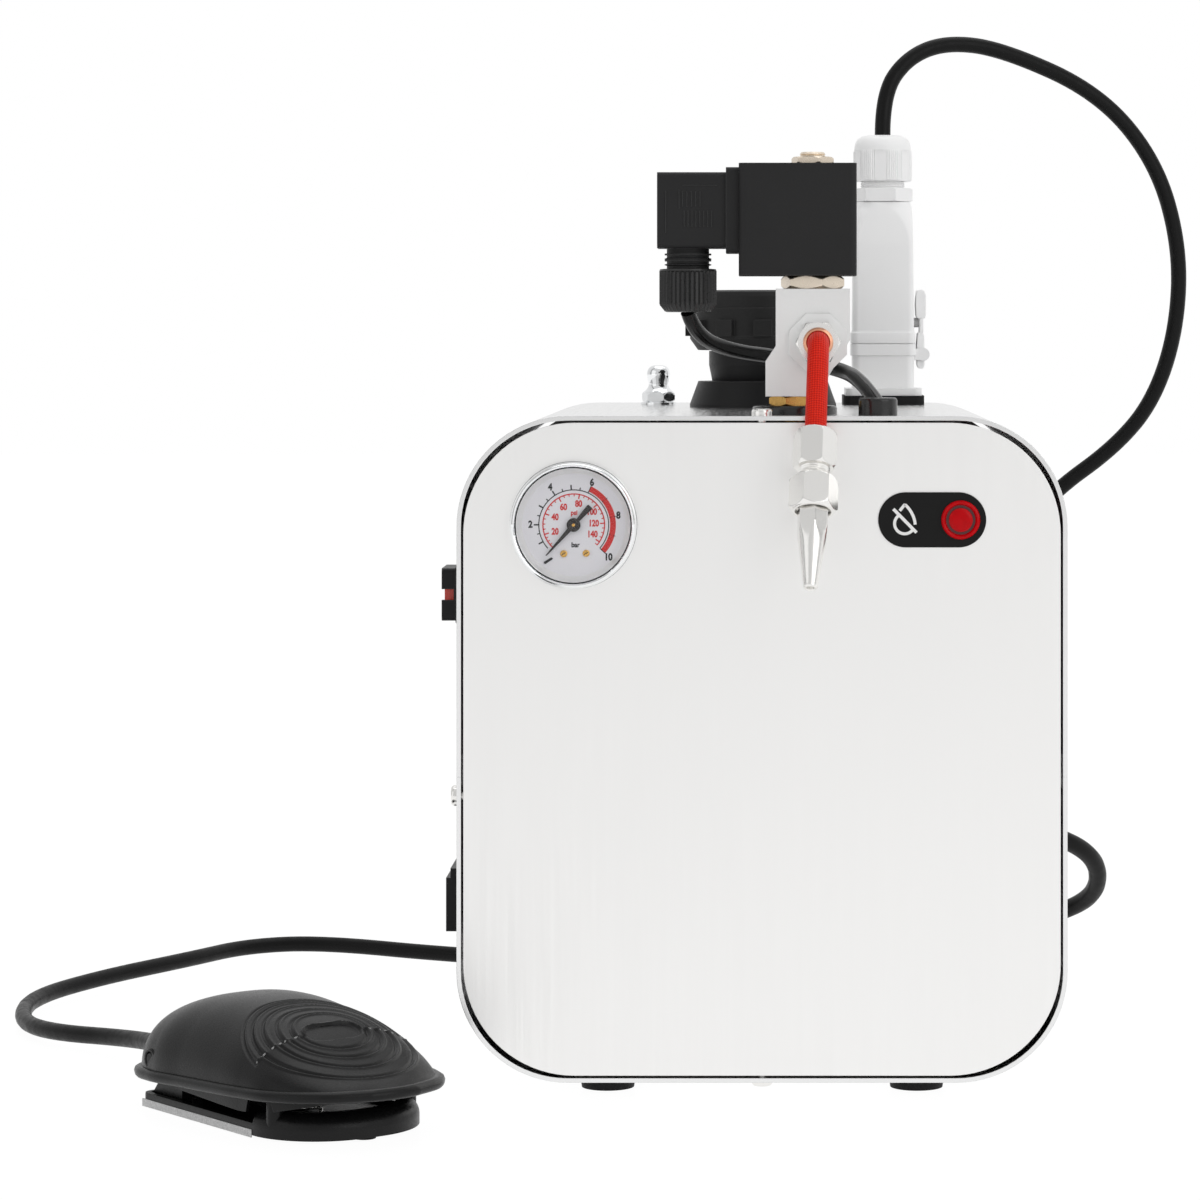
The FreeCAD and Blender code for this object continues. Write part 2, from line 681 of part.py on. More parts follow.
def polygon_bar(sides, across_corners, low, high, turn=0.0):
    """An upright bar with equal flat sides."""
    radius = across_corners / 2
    angles = [math.radians(turn + 360.0 * i / sides) for i in range(sides + 1)]
    corners = [vec(radius * math.cos(a), radius * math.sin(a), low) for a in angles]
    return Part.Face(Part.makePolygon(corners)).extrude(vec(0, 0, high - low))


def hexagon(across_corners, low, high, turn=0.0):
    return polygon_bar(6, across_corners, low, high, turn)


def chamfered_hexagon(across_corners, low, high, turn=0.0):
    """A hexagon nut with its corners turned down at both ends."""
    radius = across_corners / 2
    middle = (low + high) / 2
    half = (high - low) / 2
    drop = radius * (1 - math.cos(math.radians(30))) * 0.9
    profile = [(0, -half), (radius - drop, -half), (radius, drop * 0.6 - half)]
    profile += [(radius, half - drop * 0.6), (radius - drop, half), (0, half)]
    return hexagon(across_corners, low, high, turn).common(turned(profile, middle))


def turned(profile, height=0.0):
    """A solid of revolution about the upright axis from (radius, height) corners."""
    points = [vec(r, 0, z + height) for r, z in profile]
    face = Part.Face(Part.makePolygon(points + points[:1]))
    return face.revolve(vec(0, 0, 0), Z, 360)


def extruded_profile(points, depth):
    """A solid drawn by (x, z) corners and carried along Y, the same both ways from y = 0."""
    corners = [vec(x, -depth / 2, z) for x, z in points]
    return Part.Face(Part.makePolygon(corners + corners[:1])).extrude(vec(0, depth, 0))


def route_edges(points):
    """Straight runs joined by tangent arcs, each as large as its two runs allow, and the radii."""
    corners = [vec(*p) for p in points]
    edges = []
    radii = []
    start = corners[0]
    for before, corner, after in zip(corners, corners[1:], corners[2:]):
        run_in = corner - before
        run_out = after - corner
        half_turn = run_in.getAngle(run_out) / 2
        setback = 0.45 * min(run_in.Length, run_out.Length)
        radius = setback / math.tan(half_turn)
        entry = corner - run_in.normalize() * setback
        leave = corner + run_out.normalize() * setback
        inward = (run_out - run_in).normalize()
        centre = corner + inward * (radius / math.cos(half_turn))
        top = centre - inward * radius
        edges.append(Part.LineSegment(start, entry).toShape())
        edges.append(Part.Arc(entry, top, leave).toShape())
        radii.append(radius)
        start = leave
    edges.append(Part.LineSegment(start, corners[-1]).toShape())
    return edges, radii


def swept_tube(points, radius):
    """A round section carried along a route of runs and arcs."""
    edges, radii = route_edges(points)
    path = Part.Wire(edges)
    start = vec(*points[0])
    ahead = vec(*points[1]) - start
    section = Part.Wire([Part.makeCircle(radius, start, ahead)])
    return path.makePipeShell([section], True, False), path.Length, radii


def moved(points, x, y, z):
    """A route's points carried to where the route starts from."""
    return [(px + x, py + y, pz + z) for px, py, pz in points]


def cord(name, points, radius):
    """A cord's tube, with its length, its tightest bends and its volume set against its section."""
    tube, length, radii = swept_tube(points, radius)
    share = tube.Volume / (math.pi * radius ** 2 * length)
    lowest = min(p[2] for p in points) - radius
    bends = " ".join("%.0f" % r for r in radii)
    print("%s: length %.0f, volume share %.4f, lowest %.2f" % (name, length, share, lowest))
    print("  bend radii %s, in diameters %.1f at least" % (bends, min(radii) / radius / 2))
    return tube


def pan_screw(start, way, length=SCREW_LENGTH):
    """A cross-head screw: its head stands on start, its shank runs the other way."""
    head = Part.makeCylinder(SCREW_HEAD_RADIUS, SCREW_HEAD_HEIGHT)
    top_edges = [e for e in head.Edges if e.CenterOfMass.z > SCREW_HEAD_HEIGHT * 0.99]
    head = head.makeFillet(SCREW_HEAD_ROUNDING, top_edges)
    slot_x = (-SCREW_CROSS / 2, SCREW_CROSS / 2)
    slot_y = (-SCREW_CROSS_WIDTH / 2, SCREW_CROSS_WIDTH / 2)
    slot_z = (SCREW_HEAD_HEIGHT * 0.6, SCREW_HEAD_HEIGHT * 1.1)
    head = head.cut(block(slot_x, slot_y, slot_z)).cut(block(slot_y, slot_x, slot_z))
    screw = join([head, rod(SCREW_RADIUS, vec(0, 0, -length), vec(0, 0, SCREW_CROSS_WIDTH))])
    side = Y if abs(way.z) > 0.5 else Z
    return placed(screw, start, side, way.cross(side))


def ribbed(body, outer, low, high, count):
    """Lengthwise grip ribs cut into a round upright body."""
    cuts = []
    for i in range(count):
        groove = block(
            (outer - GLAND_RIB_DEPTH, outer + GLAND_RIB_DEPTH),
            (-GLAND_RIB_WIDTH / 2, GLAND_RIB_WIDTH / 2),
            (low, high),
        )
        groove.rotate(vec(0, 0, 0), Z, 360.0 * i / count)
        cuts.append(groove)
    return body.cut(Part.makeCompound(cuts))


# ---------------------------------------------------------------- housing
def housing_block(inset, depth_inset=0.0):
    """The rounded block of the housing's outline, drawn in by an inset."""
    section = rounded_face(
        HOUSING_WIDTH - 2 * inset, HOUSING_HEIGHT - 2 * inset, CORNER_RADIUS - inset
    )
    shape = section.extrude(vec(0, 0, HOUSING_DEPTH - 2 * depth_inset))
    return placed(shape, vec(0, BACK_Y - depth_inset, MIDDLE_Z), X, Z)


def side_screw_places():
    """Where the screws of the shell go: start on the outside, way out, for front and back."""
    places = []
    for y in (FRONT_Y + SCREW_FROM_EDGE, BACK_Y - SCREW_FROM_EDGE):
        places.append((vec(0, y, TOP_Z), Z))
        places.append((vec(0, y, BASE_Z), -Z))
        places.append((vec(-HOUSING_WIDTH / 2, y, SIDE_SCREW_Z), -X))
    places.append((vec(HOUSING_WIDTH / 2, BACK_Y - SCREW_FROM_EDGE, SIDE_SCREW_Z), X))
    return places


def foot_places():
    """The middles of the four feet."""
    rows = (FRONT_Y + FOOT_INSET, BACK_Y - FOOT_INSET)
    return [(x, y) for x in (-FOOT_X, FOOT_X) for y in rows]


def screw_holes(extra):
    """Bars that clear the screw shanks through the shell and the panel flanges."""
    bars = []
    for start, way in side_screw_places():
        bars.append(rod(SCREW_RADIUS + extra, start + way, start - way * SCREW_LENGTH * 1.2))
    for x, y in foot_places():
        bars.append(rod(SCREW_RADIUS + extra, vec(x, y, 0), vec(x, y, TRAY_TOP + 1)))
    return Part.makeCompound(bars)


def top_openings():
    """Holes in the top for what stands on it."""
    above = TOP_Z + 1
    spots = [
        (0, FILLER_Y, NECK_RADIUS + SEAT_CLEARANCE),
        (RELIEF_X, RELIEF_Y, RELIEF_PIPE_RADIUS + SEAT_CLEARANCE),
        (NIPPLE_X, VALVE_Y, NIPPLE_RADIUS + SEAT_CLEARANCE),
        (BUSH_X, BUSH_Y, BUSH_STEM_RADIUS + SEAT_CLEARANCE),
    ]
    below = TOP_Z - 4 * SHELL_THICKNESS
    bars = [rod(r, vec(x, y, below), vec(x, y, above)) for x, y, r in spots]
    room = HOOD_SPIGOT_WIDTH + 2 * HOOD_SPIGOT_CLEARANCE
    opening = slab(room, room, CONNECTOR_CORNER, below - TOP_Z, above - TOP_Z)
    bars.append(on_top(opening, CONNECTOR_X, CONNECTOR_Y))
    return Part.makeCompound(bars)


def side_openings():
    """Holes in the left wall for the switch and the breaker."""
    room = 2 * SEAT_CLEARANCE
    switch = slab(
        SWITCH_BODY_LENGTH + room, SWITCH_BODY_HEIGHT + room, SWITCH_CORNER,
        -SHELL_THICKNESS * 3, 1,
    )
    breaker = slab(
        BREAKER_BODY_LENGTH + room, BREAKER_BODY_HEIGHT + room, SWITCH_CORNER,
        -SHELL_THICKNESS * 3, 1,
    )
    places = [on_left(switch, SWITCH_Y, SWITCH_Z), on_left(breaker, BREAKER_Y, BREAKER_Z)]
    return Part.makeCompound(places)


def wrap():
    """The whole wrap-round sheet, before it is parted at the sides."""
    return housing_block(0).cut(housing_block(SHELL_THICKNESS, -1))


def half_space(low, high):
    """A slab of everything between two heights."""
    reach = HOUSING_WIDTH + HOUSING_DEPTH
    return block((-reach, reach), (-reach, reach), (low, high))


def upper_shell():
    shell = wrap().common(half_space(SPLIT_Z, TOP_Z + 1))
    shell = shell.cut(top_openings()).cut(side_openings())
    return shell.cut(screw_holes(HOLE_CLEARANCE))


def lap_strip(side):
    """The set-back tongue that the upper shell slides over, on one side."""
    outer = INNER_X
    set_back = INNER_X - LAP_CLEARANCE
    inner = set_back - SHELL_THICKNESS
    y = (FRONT_Y + PANEL_FLANGE + PANEL_GAP * 2, BACK_Y - PANEL_FLANGE - PANEL_GAP * 2)
    low = block((inner, outer), y, (SPLIT_Z - LAP_HEIGHT, SPLIT_Z))
    high = block((inner, set_back), y, (SPLIT_Z, SPLIT_Z + LAP_HEIGHT))
    strip = join([low, high])
    return strip if side > 0 else strip.mirror(vec(0, 0, 0), X)


def lower_shell():
    shell = wrap().common(half_space(BASE_Z - 1, SPLIT_Z))
    shell = join([shell, lap_strip(1), lap_strip(-1)])
    return shell.cut(side_openings()).cut(screw_holes(HOLE_CLEARANCE))


def pan():
    """An end panel: a plate with a flange along each straight side, drawn facing up."""
    width = HOUSING_WIDTH - 2 * PANEL_INSET
    height = HOUSING_HEIGHT - 2 * PANEL_INSET
    parts = [slab(width, height, CORNER_RADIUS, -PANEL_THICKNESS, 0)]
    flat_w = HOUSING_WIDTH / 2 - CORNER_RADIUS - FLANGE_NOTCH
    flat_h = HOUSING_HEIGHT / 2 - CORNER_RADIUS - FLANGE_NOTCH
    deep = (-PANEL_FLANGE, 0)
    for way in (-1, 1):
        x = sorted((way * width / 2, way * (width / 2 - PANEL_THICKNESS)))
        y = sorted((way * height / 2, way * (height / 2 - PANEL_THICKNESS)))
        parts.append(block(x, (-flat_h, flat_h), deep))
        parts.append(block((-flat_w, flat_w), y, deep))
    return join(parts)


def front_panel():
    panel = on_front(pan(), 0, MIDDLE_Z)
    gauge_hole = rod(GAUGE_BARREL_RADIUS + SEAT_CLEARANCE, vec(0, 0, -9), vec(0, 0, 9))
    lamp_hole = rod(LAMP_BODY_RADIUS + SEAT_CLEARANCE, vec(0, 0, -9), vec(0, 0, 9))
    panel = panel.cut(on_front(gauge_hole, GAUGE_X, GAUGE_Z))
    panel = panel.cut(on_front(lamp_hole, LAMP_X, PLATE_Z))
    return panel.cut(top_openings()).cut(screw_holes(HOLE_CLEARANCE))


def back_panel():
    panel = placed(pan(), vec(0, BACK_Y - PANEL_RECESS, MIDDLE_Z), -X, Z)
    hole = rod(
        RELIEF_BASE_RADIUS + SEAT_CLEARANCE,
        vec(MAINS_X, BACK_Y - PANEL_FLANGE, MAINS_HEIGHT),
        vec(MAINS_X, BACK_Y + 1, MAINS_HEIGHT),
    )
    panel = panel.cut(hole)
    slots = []
    for row in range(VENT_COUNT):
        deep = PANEL_FLANGE / 2
        slot = slab(VENT_LENGTH, VENT_WIDTH, VENT_WIDTH / 2, -deep, deep, 0, row * VENT_PITCH)
        slots.append(placed(slot, vec(0, BACK_Y, TANK_Z), -X, Z))
    return panel.cut(Part.makeCompound(slots)).cut(screw_holes(HOLE_CLEARANCE))


def chassis_tray():
    """The folded tray on the floor of the housing, with the welded ring that the boiler stands on."""
    half_w = TRAY_WIDTH / 2
    y = (-TRAY_LENGTH / 2, TRAY_LENGTH / 2)
    parts = [block((-half_w, half_w), y, (TRAY_Z, TRAY_TOP))]
    for low in (-half_w, half_w - TRAY_THICKNESS):
        parts.append(block((low, low + TRAY_THICKNESS), y, (TRAY_Z, TRAY_Z + TRAY_LIP)))
    stand = ring(
        STAND_RADIUS, STAND_RADIUS - STAND_WALL, vec(0, FILLER_Y, TRAY_Z), vec(0, FILLER_Y, TANK_Z)
    )
    windows = []
    for i in range(4):
        window = block(
            (0, STAND_RADIUS + 1), (-STAND_RADIUS / 3, STAND_RADIUS / 3),
            (TRAY_TOP + STAND_HEIGHT * STAND_WINDOW_FROM, TRAY_TOP + STAND_HEIGHT * STAND_WINDOW_TO),
        )
        window.rotate(vec(0, 0, 0), Z, 45 + 90 * i)
        windows.append(placed(window, vec(0, FILLER_Y, 0), X, Y))
    parts.append(stand.cut(Part.makeCompound(windows)))
    return join(parts).cut(screw_holes(HOLE_CLEARANCE))


def shell_screws():
    screws = [pan_screw(start, way) for start, way in side_screw_places()]
    seat = FOOT_HEIGHT - SHELL_THICKNESS / 2
    for x, y in foot_places():
        screws.append(pan_screw(vec(x, y, seat), -Z))
    return screws


def rubber_feet():
    """Four round feet with a pocket for the screw, and the pedal's three pads."""
    feet = []
    for x, y in foot_places():
        foot = taper(
            FOOT_RADIUS - FOOT_TAPER, FOOT_RADIUS, vec(x, y, 0), vec(x, y, FOOT_HEIGHT)
        )
        seat = FOOT_HEIGHT - SHELL_THICKNESS / 2
        foot = foot.cut(rod(SCREW_HEAD_RADIUS + HOLE_CLEARANCE, vec(x, y, -1), vec(x, y, seat)))
        foot = foot.cut(rod(SCREW_RADIUS + HOLE_CLEARANCE, vec(x, y, 0), vec(x, y, FOOT_HEIGHT)))
        feet.append(foot)
    side = PEDAL_BASE_WIDTH / 2 - PEDAL_PAD_INSET
    toe = PEDAL_BASE_LENGTH - PEDAL_TOE_PAD_INSET
    for along, across in ((PEDAL_PAD_INSET, -side), (PEDAL_PAD_INSET, side), (toe, 0)):
        pad = rod(PEDAL_PAD_RADIUS, vec(along, across, 0), vec(along, across, PEDAL_PAD_HEIGHT))
        feet.append(on_pedal(pad))
    return feet


# ---------------------------------------------------------------- boiler
def tank_block(inset):
    """The boiler's outline, with rounded knuckles at both ends, drawn in by an inset."""
    radius = TANK_RADIUS - inset
    shape = rod(radius, vec(0, 0, TANK_Z + inset), vec(0, 0, TANK_TOP - inset))
    rims = [e for e in shape.Edges if e.Curve.TypeId == "Part::GeomCircle"]
    return shape.makeFillet(TANK_KNUCKLE - inset, rims)


def bung_bar(radius, start, end):
    """A bar along the heater's axis, measured out from the middle of the tank."""
    z = TANK_Z + BUNG_ABOVE_TANK_BASE
    return rod(radius, vec(0, -start, z), vec(0, -end, z))


def boiler_tank():
    outside = TANK_RADIUS + BUNG_OUTSIDE
    bung = bung_bar(BUNG_RADIUS, outside - BUNG_LENGTH, outside)
    tank = join([tank_block(0), bung]).cut(tank_block(TANK_WALL))
    tank = tank.cut(bung_bar(HEATER_PLUG_RADIUS, 0, outside + 1))
    tank = placed(tank, vec(0, FILLER_Y, 0), X, Y)
    holes = [(0, FILLER_Y, NECK_RADIUS), (RELIEF_X, RELIEF_Y, RELIEF_PIPE_RADIUS)]
    holes.append((PRESSURE_SWITCH_X, FILLER_Y + PRESSURE_SWITCH_FROM_FILLER, PRESSURE_STEM_RADIUS))
    holes += [(route[-1][0], route[-1][1], PIPE_RADIUS) for route in inner_pipe_routes()]
    low = TANK_TOP - 2 * TANK_WALL
    bars = [rod(r, vec(x, y, low), vec(x, y, TANK_TOP + 1)) for x, y, r in holes]
    return tank.cut(Part.makeCompound(bars))


def heating_element():
    """A screwed plug with a six-sided head and one hairpin heater inside the boiler."""
    outside = TANK_RADIUS + BUNG_OUTSIDE
    plug = bung_bar(HEATER_PLUG_RADIUS, outside - BUNG_LENGTH, outside)
    z = TANK_Z + BUNG_ABOVE_TANK_BASE
    head = hexagon(HEATER_HEAD_ACROSS, 0, HEATER_HEAD_LENGTH)
    head = placed(head, vec(0, -outside, z), X, Z)
    half = HEATER_ROD_SPACING / 2
    near = BUNG_LENGTH - outside - 1
    far = HEATER_REACH - outside
    hairpin = [(-half, near, z), (-half, far, z), (half, far, z), (half, near, z)]
    tube, _, _ = swept_tube(hairpin, HEATER_ROD_RADIUS)
    studs = []
    for x in (-half, half):
        foot = vec(x, -outside - HEATER_HEAD_LENGTH, z)
        studs.append(rod(HEATER_STUD_RADIUS, foot, foot - Y * HEATER_STUD_LENGTH))
    whole = join([plug, head, tube] + studs)
    return placed(whole, vec(0, FILLER_Y, 0), X, Y)


def inner_pipe_routes():
    """Steam to the valve's nipple, and pressure to the gauge: from the fitting to the boiler."""
    nipple_foot = TOP_Z - NIPPLE_BELOW_TOP
    high = (nipple_foot + TANK_TOP) / 2
    inside = TANK_TOP - TANK_WALL
    steam_y = FILLER_Y - NECK_RADIUS * 2.6
    steam = [(NIPPLE_X, VALVE_Y, nipple_foot), (NIPPLE_X, VALVE_Y, high)]
    steam += [(NIPPLE_X, steam_y, high), (NIPPLE_X, steam_y, inside)]
    gauge_back = PANEL_FACE + GAUGE_BARREL_DEPTH + GAUGE_STEM_LENGTH
    gauge = [(GAUGE_X, gauge_back, GAUGE_Z), (GAUGE_X, gauge_back + GAUGE_PIPE_REACH, GAUGE_Z)]
    drop_y = FILLER_Y - NECK_RADIUS * 1.5
    gauge += [(GAUGE_X / 2, drop_y, high), (GAUGE_X / 2, drop_y, inside)]
    return [steam, gauge]


def inner_pipes():
    return [swept_tube(route, PIPE_RADIUS)[0] for route in inner_pipe_routes()]


def filler_neck():
    """The steel filling tube, welded into the boiler and standing up through the housing."""
    low = vec(0, FILLER_Y, TANK_TOP - TANK_WALL)
    return ring(NECK_RADIUS, NECK_BORE_RADIUS, low, vec(0, FILLER_Y, NECK_TOP))


def terminals(count, height):
    """Flat push-on blades side by side, standing on a height."""
    blades = []
    for i in range(count):
        x = (i - (count - 1) / 2) * TERMINAL_SPACING
        blades.append(block(
            (x - TERMINAL_WIDTH / 2, x + TERMINAL_WIDTH / 2),
            (-TERMINAL_THICKNESS / 2, TERMINAL_THICKNESS / 2),
            (height, height + TERMINAL_HEIGHT),
        ))
    return blades


def pressure_switch():
    top = PRESSURE_STEM_HEIGHT + PRESSURE_SWITCH_HEIGHT
    parts = [
        rod(PRESSURE_STEM_RADIUS, vec(0, 0, -TANK_WALL), vec(0, 0, PRESSURE_STEM_HEIGHT)),
        rod(PRESSURE_SWITCH_RADIUS, vec(0, 0, PRESSURE_STEM_HEIGHT), vec(0, 0, top)),
    ]
    parts += terminals(2, top)
    y = FILLER_Y + PRESSURE_SWITCH_FROM_FILLER
    return placed(join(parts), vec(PRESSURE_SWITCH_X, y, TANK_TOP), X, Y)


def safety_thermostat():
    parts = [rod(THERMOSTAT_RADIUS, vec(0, 0, 0), vec(0, 0, THERMOSTAT_HEIGHT))]
    parts += terminals(2, THERMOSTAT_HEIGHT)
    y = FILLER_Y + THERMOSTAT_FROM_FILLER
    return placed(join(parts), vec(THERMOSTAT_X, y, TANK_TOP), X, Y)


# ---------------------------------------------------------------- filler cap
def neck_skirt():
    """The moulded collar round the filler neck."""
    profile = [
        (NECK_RADIUS + SEAT_CLEARANCE, 0), (SKIRT_BASE_RADIUS, 0),
        (SKIRT_BASE_RADIUS, SKIRT_FOOT_HEIGHT), (SKIRT_SHOULDER_RADIUS, SKIRT_SHOULDER_HEIGHT),
        (SKIRT_WAIST_RADIUS, SKIRT_SHOULDER_HEIGHT), (SKIRT_NECK_RADIUS, SKIRT_FLARE_HEIGHT),
        (SKIRT_NECK_RADIUS, SKIRT_HEIGHT), (NECK_RADIUS + SEAT_CLEARANCE, SKIRT_HEIGHT),
    ]
    return on_top(turned(profile), 0, FILLER_Y)


def filler_cap():
    """The screw cap: a ring, a lugged grip and a rounded top over the threaded bore."""
    body_top = CAP_RING_HEIGHT + CAP_BODY_HEIGHT
    height = body_top + CAP_TOP_HEIGHT
    bore = NECK_RADIUS + CAP_THREAD_CLEARANCE
    ceiling = NECK_TOP + GASKET_THICKNESS - CAP_Z
    profile = [
        (0, ceiling), (bore, ceiling), (bore, 0), (CAP_RING_LOW_RADIUS, 0),
        (CAP_RING_RADIUS, CAP_RING_HEIGHT * 0.8), (CAP_RING_RADIUS, CAP_RING_HEIGHT),
        (CAP_BODY_RADIUS, CAP_RING_HEIGHT), (CAP_BODY_RADIUS, body_top),
        (CAP_TOP_RADIUS, body_top), (CAP_TOP_RADIUS, height - CAP_TOP_ROUNDING),
        (CAP_TOP_RADIUS - CAP_TOP_ROUNDING * 0.3, height - CAP_TOP_ROUNDING * 0.3),
        (CAP_TOP_RADIUS - CAP_TOP_ROUNDING, height), (0, height),
    ]
    parts = [turned(profile)]
    for i in range(CAP_LUG_COUNT):
        lug = block(
            (CAP_BODY_RADIUS - CAP_LUG_ROOT, CAP_LUG_RADIUS), (-CAP_LUG_WIDTH / 2, CAP_LUG_WIDTH / 2),
            (CAP_RING_HEIGHT, CAP_RING_HEIGHT + CAP_LUG_HEIGHT),
        )
        lug.rotate(vec(0, 0, 0), Z, 360.0 * i / CAP_LUG_COUNT)
        parts.append(lug)
    return placed(join(parts), vec(0, FILLER_Y, CAP_Z), X, Y)


def cap_gasket():
    """The seal between the neck's rim and the cap's ceiling."""
    top = vec(0, FILLER_Y, NECK_TOP + GASKET_THICKNESS)
    return ring(NECK_RADIUS, NECK_BORE_RADIUS, vec(0, FILLER_Y, NECK_TOP), top)


# ---------------------------------------------------------------- relief valve
def relief_levels():
    """Heights above the top: hexagon, neck, dome and its crown."""
    hex_top = RELIEF_WASHER_HEIGHT + RELIEF_HEX_HEIGHT
    neck_top = hex_top + RELIEF_NECK_HEIGHT
    return hex_top, neck_top, neck_top + RELIEF_DOME_HEIGHT


def relief_seat():
    """Height above the top of the seat that the poppet closes."""
    hex_top, _, _ = relief_levels()
    return hex_top + RELIEF_NECK_HEIGHT * 0.5


def relief_valve_body():
    """The plated safety valve with its pipe down to the boiler."""
    hex_top, neck_top, crown = relief_levels()
    seat = relief_seat()
    dome = [
        (0, hex_top), (RELIEF_NECK_RADIUS, hex_top), (RELIEF_NECK_RADIUS, neck_top - RELIEF_NECK_BLEND),
        (RELIEF_DOME_RADIUS, neck_top + RELIEF_NECK_BLEND), (RELIEF_DOME_RADIUS, crown - RELIEF_CROWN_DROP),
        (RELIEF_DOME_RADIUS * 0.85, crown - RELIEF_CROWN_DROP * 0.4),
        (RELIEF_DOME_RADIUS * 0.55, crown), (0, crown),
    ]
    parts = [
        rod(RELIEF_WASHER_RADIUS, vec(0, 0, 0), vec(0, 0, RELIEF_WASHER_HEIGHT)),
        hexagon(RELIEF_HEX_ACROSS, RELIEF_WASHER_HEIGHT, hex_top, 12),
        turned(dome),
        rod(RELIEF_PIPE_RADIUS, vec(0, 0, TANK_TOP - TANK_WALL - TOP_Z), vec(0, 0, 0)),
    ]
    body = join(parts)
    body = body.cut(rod(RELIEF_BORE_RADIUS, vec(0, 0, TANK_TOP - TOP_Z - 9), vec(0, 0, seat)))
    chamber_top = vec(0, 0, seat + RELIEF_CHAMBER_HEIGHT)
    body = body.cut(rod(RELIEF_CHAMBER_RADIUS, vec(0, 0, seat), chamber_top))
    vent_z = seat + RELIEF_CHAMBER_HEIGHT - 2 * RELIEF_VENT_RADIUS
    for way in (X, Y):
        reach = way * (RELIEF_DOME_RADIUS + 1)
        body = body.cut(rod(RELIEF_VENT_RADIUS, vec(0, 0, vent_z) - reach, vec(0, 0, vent_z) + reach))
    return on_top(body, RELIEF_X, RELIEF_Y)


def relief_poppet():
    seat = relief_seat()
    radius = RELIEF_CHAMBER_RADIUS - RELIEF_POPPET_CLEARANCE
    poppet = rod(radius, vec(0, 0, seat), vec(0, 0, seat + RELIEF_POPPET_LENGTH))
    return on_top(poppet, RELIEF_X, RELIEF_Y)


# ---------------------------------------------------------------- solenoid valve
def valve_base_seal():
    top = vec(0, 0, VALVE_SEAL_HEIGHT)
    seal = rod(VALVE_SEAL_RADIUS, vec(0, 0, 0), top)
    rim = [e for e in seal.Edges if e.CenterOfMass.z > VALVE_SEAL_HEIGHT * 0.9]
    seal = seal.makeFillet(VALVE_SEAL_HEIGHT * 0.4, rim)
    return on_top(seal.cut(rod(NIPPLE_RADIUS, vec(0, 0, 0), top)), NIPPLE_X, VALVE_Y)


def brass_nipple():
    """The brass fitting that carries the valve and brings the steam up."""
    low = vec(0, 0, -NIPPLE_BELOW_TOP)
    high = vec(0, 0, VALVE_Z - TOP_Z + NIPPLE_IN_VALVE)
    head = chamfered_hexagon(NIPPLE_ACROSS, VALVE_SEAL_HEIGHT, VALVE_Z - TOP_Z, 10)
    nipple = join([rod(NIPPLE_RADIUS, low, high), head])
    return on_top(nipple.cut(rod(NIPPLE_BORE_RADIUS, low, high)), NIPPLE_X, VALVE_Y)


def valve_body():
    """The valve block: a narrow foot, a wider head, and the octagon round its front port."""
    foot_left = NIPPLE_X - VALVE_FOOT_WIDTH / 2
    foot_right = NIPPLE_X + VALVE_FOOT_WIDTH / 2
    head_left = VALVE_HEAD_X - VALVE_HEAD_WIDTH / 2
    head_right = VALVE_HEAD_X + VALVE_HEAD_WIDTH / 2
    outline = [
        (foot_left, VALVE_Z), (foot_right, VALVE_Z), (foot_right, VALVE_Z + VALVE_RIGHT_STEP),
        (head_right, VALVE_Z + VALVE_RIGHT_STEP + VALVE_RIGHT_CHAMFER), (head_right, VALVE_TOP),
        (head_left, VALVE_TOP), (head_left, VALVE_Z + VALVE_LEFT_STEP + VALVE_LEFT_CHAMFER),
        (foot_left, VALVE_Z + VALVE_LEFT_STEP),
    ]
    body = extruded_profile(outline, VALVE_DEPTH)
    across = PORT_BOSS_FLATS / math.cos(math.radians(22.5))
    boss = polygon_bar(8, across, 0, PORT_BOSS_LENGTH, 22.5)
    boss = placed(boss, vec(PORT_X, -VALVE_DEPTH / 2, PORT_Z), X, Z)
    body = join([body, boss])
    bore_top = VALVE_Z + NIPPLE_IN_VALVE
    body = body.cut(rod(NIPPLE_RADIUS, vec(NIPPLE_X, 0, VALVE_Z - 1), vec(NIPPLE_X, 0, bore_top)))
    front = vec(PORT_X, -VALVE_DEPTH / 2 - PORT_BOSS_LENGTH - 1, PORT_Z)
    body = body.cut(rod(STEAM_TUBE_RADIUS, front, vec(PORT_X, 0, PORT_Z)))
    inlet = [vec(NIPPLE_X, 0, bore_top), vec(VALVE_HEAD_X, 0, PORT_Z)]
    body = body.cut(rod(STEAM_TUBE_RADIUS, inlet[0] - Z, inlet[1]))
    top = vec(VALVE_HEAD_X, 0, VALVE_TOP)
    body = body.cut(rod(ARMATURE_BORE_RADIUS, vec(VALVE_HEAD_X, 0, PORT_Z + VALVE_CHAMBER_RISE), top))
    body = body.cut(rod(STEAM_TUBE_RADIUS, inlet[1], top))
    return placed(body, vec(0, VALVE_Y, 0), X, Y)


def armature_tube():
    """The tube that the plunger slides in, with its nut below and its threaded stub on top."""
    stub_top = COIL_TOP + ARMATURE_STUB_HEIGHT
    tube = join([
        chamfered_hexagon(ARMATURE_HEX_ACROSS, VALVE_TOP, COIL_Z, 8),
        rod(ARMATURE_RADIUS, vec(0, 0, COIL_Z), vec(0, 0, COIL_TOP)),
        rod(ARMATURE_STUB_RADIUS, vec(0, 0, COIL_TOP), vec(0, 0, stub_top)),
    ])
    bore_top = vec(0, 0, plunger_low() + PLUNGER_LENGTH + PLUNGER_TRAVEL + PLUNGER_ROOM)
    tube = tube.cut(rod(ARMATURE_BORE_RADIUS, vec(0, 0, VALVE_TOP - 1), bore_top))
    return placed(tube, vec(VALVE_HEAD_X, VALVE_Y, 0), X, Y)


def plunger_low():
    """Height of the underside of the plunger's thick part when the valve is shut."""
    return VALVE_TOP - PLUNGER_SUNK


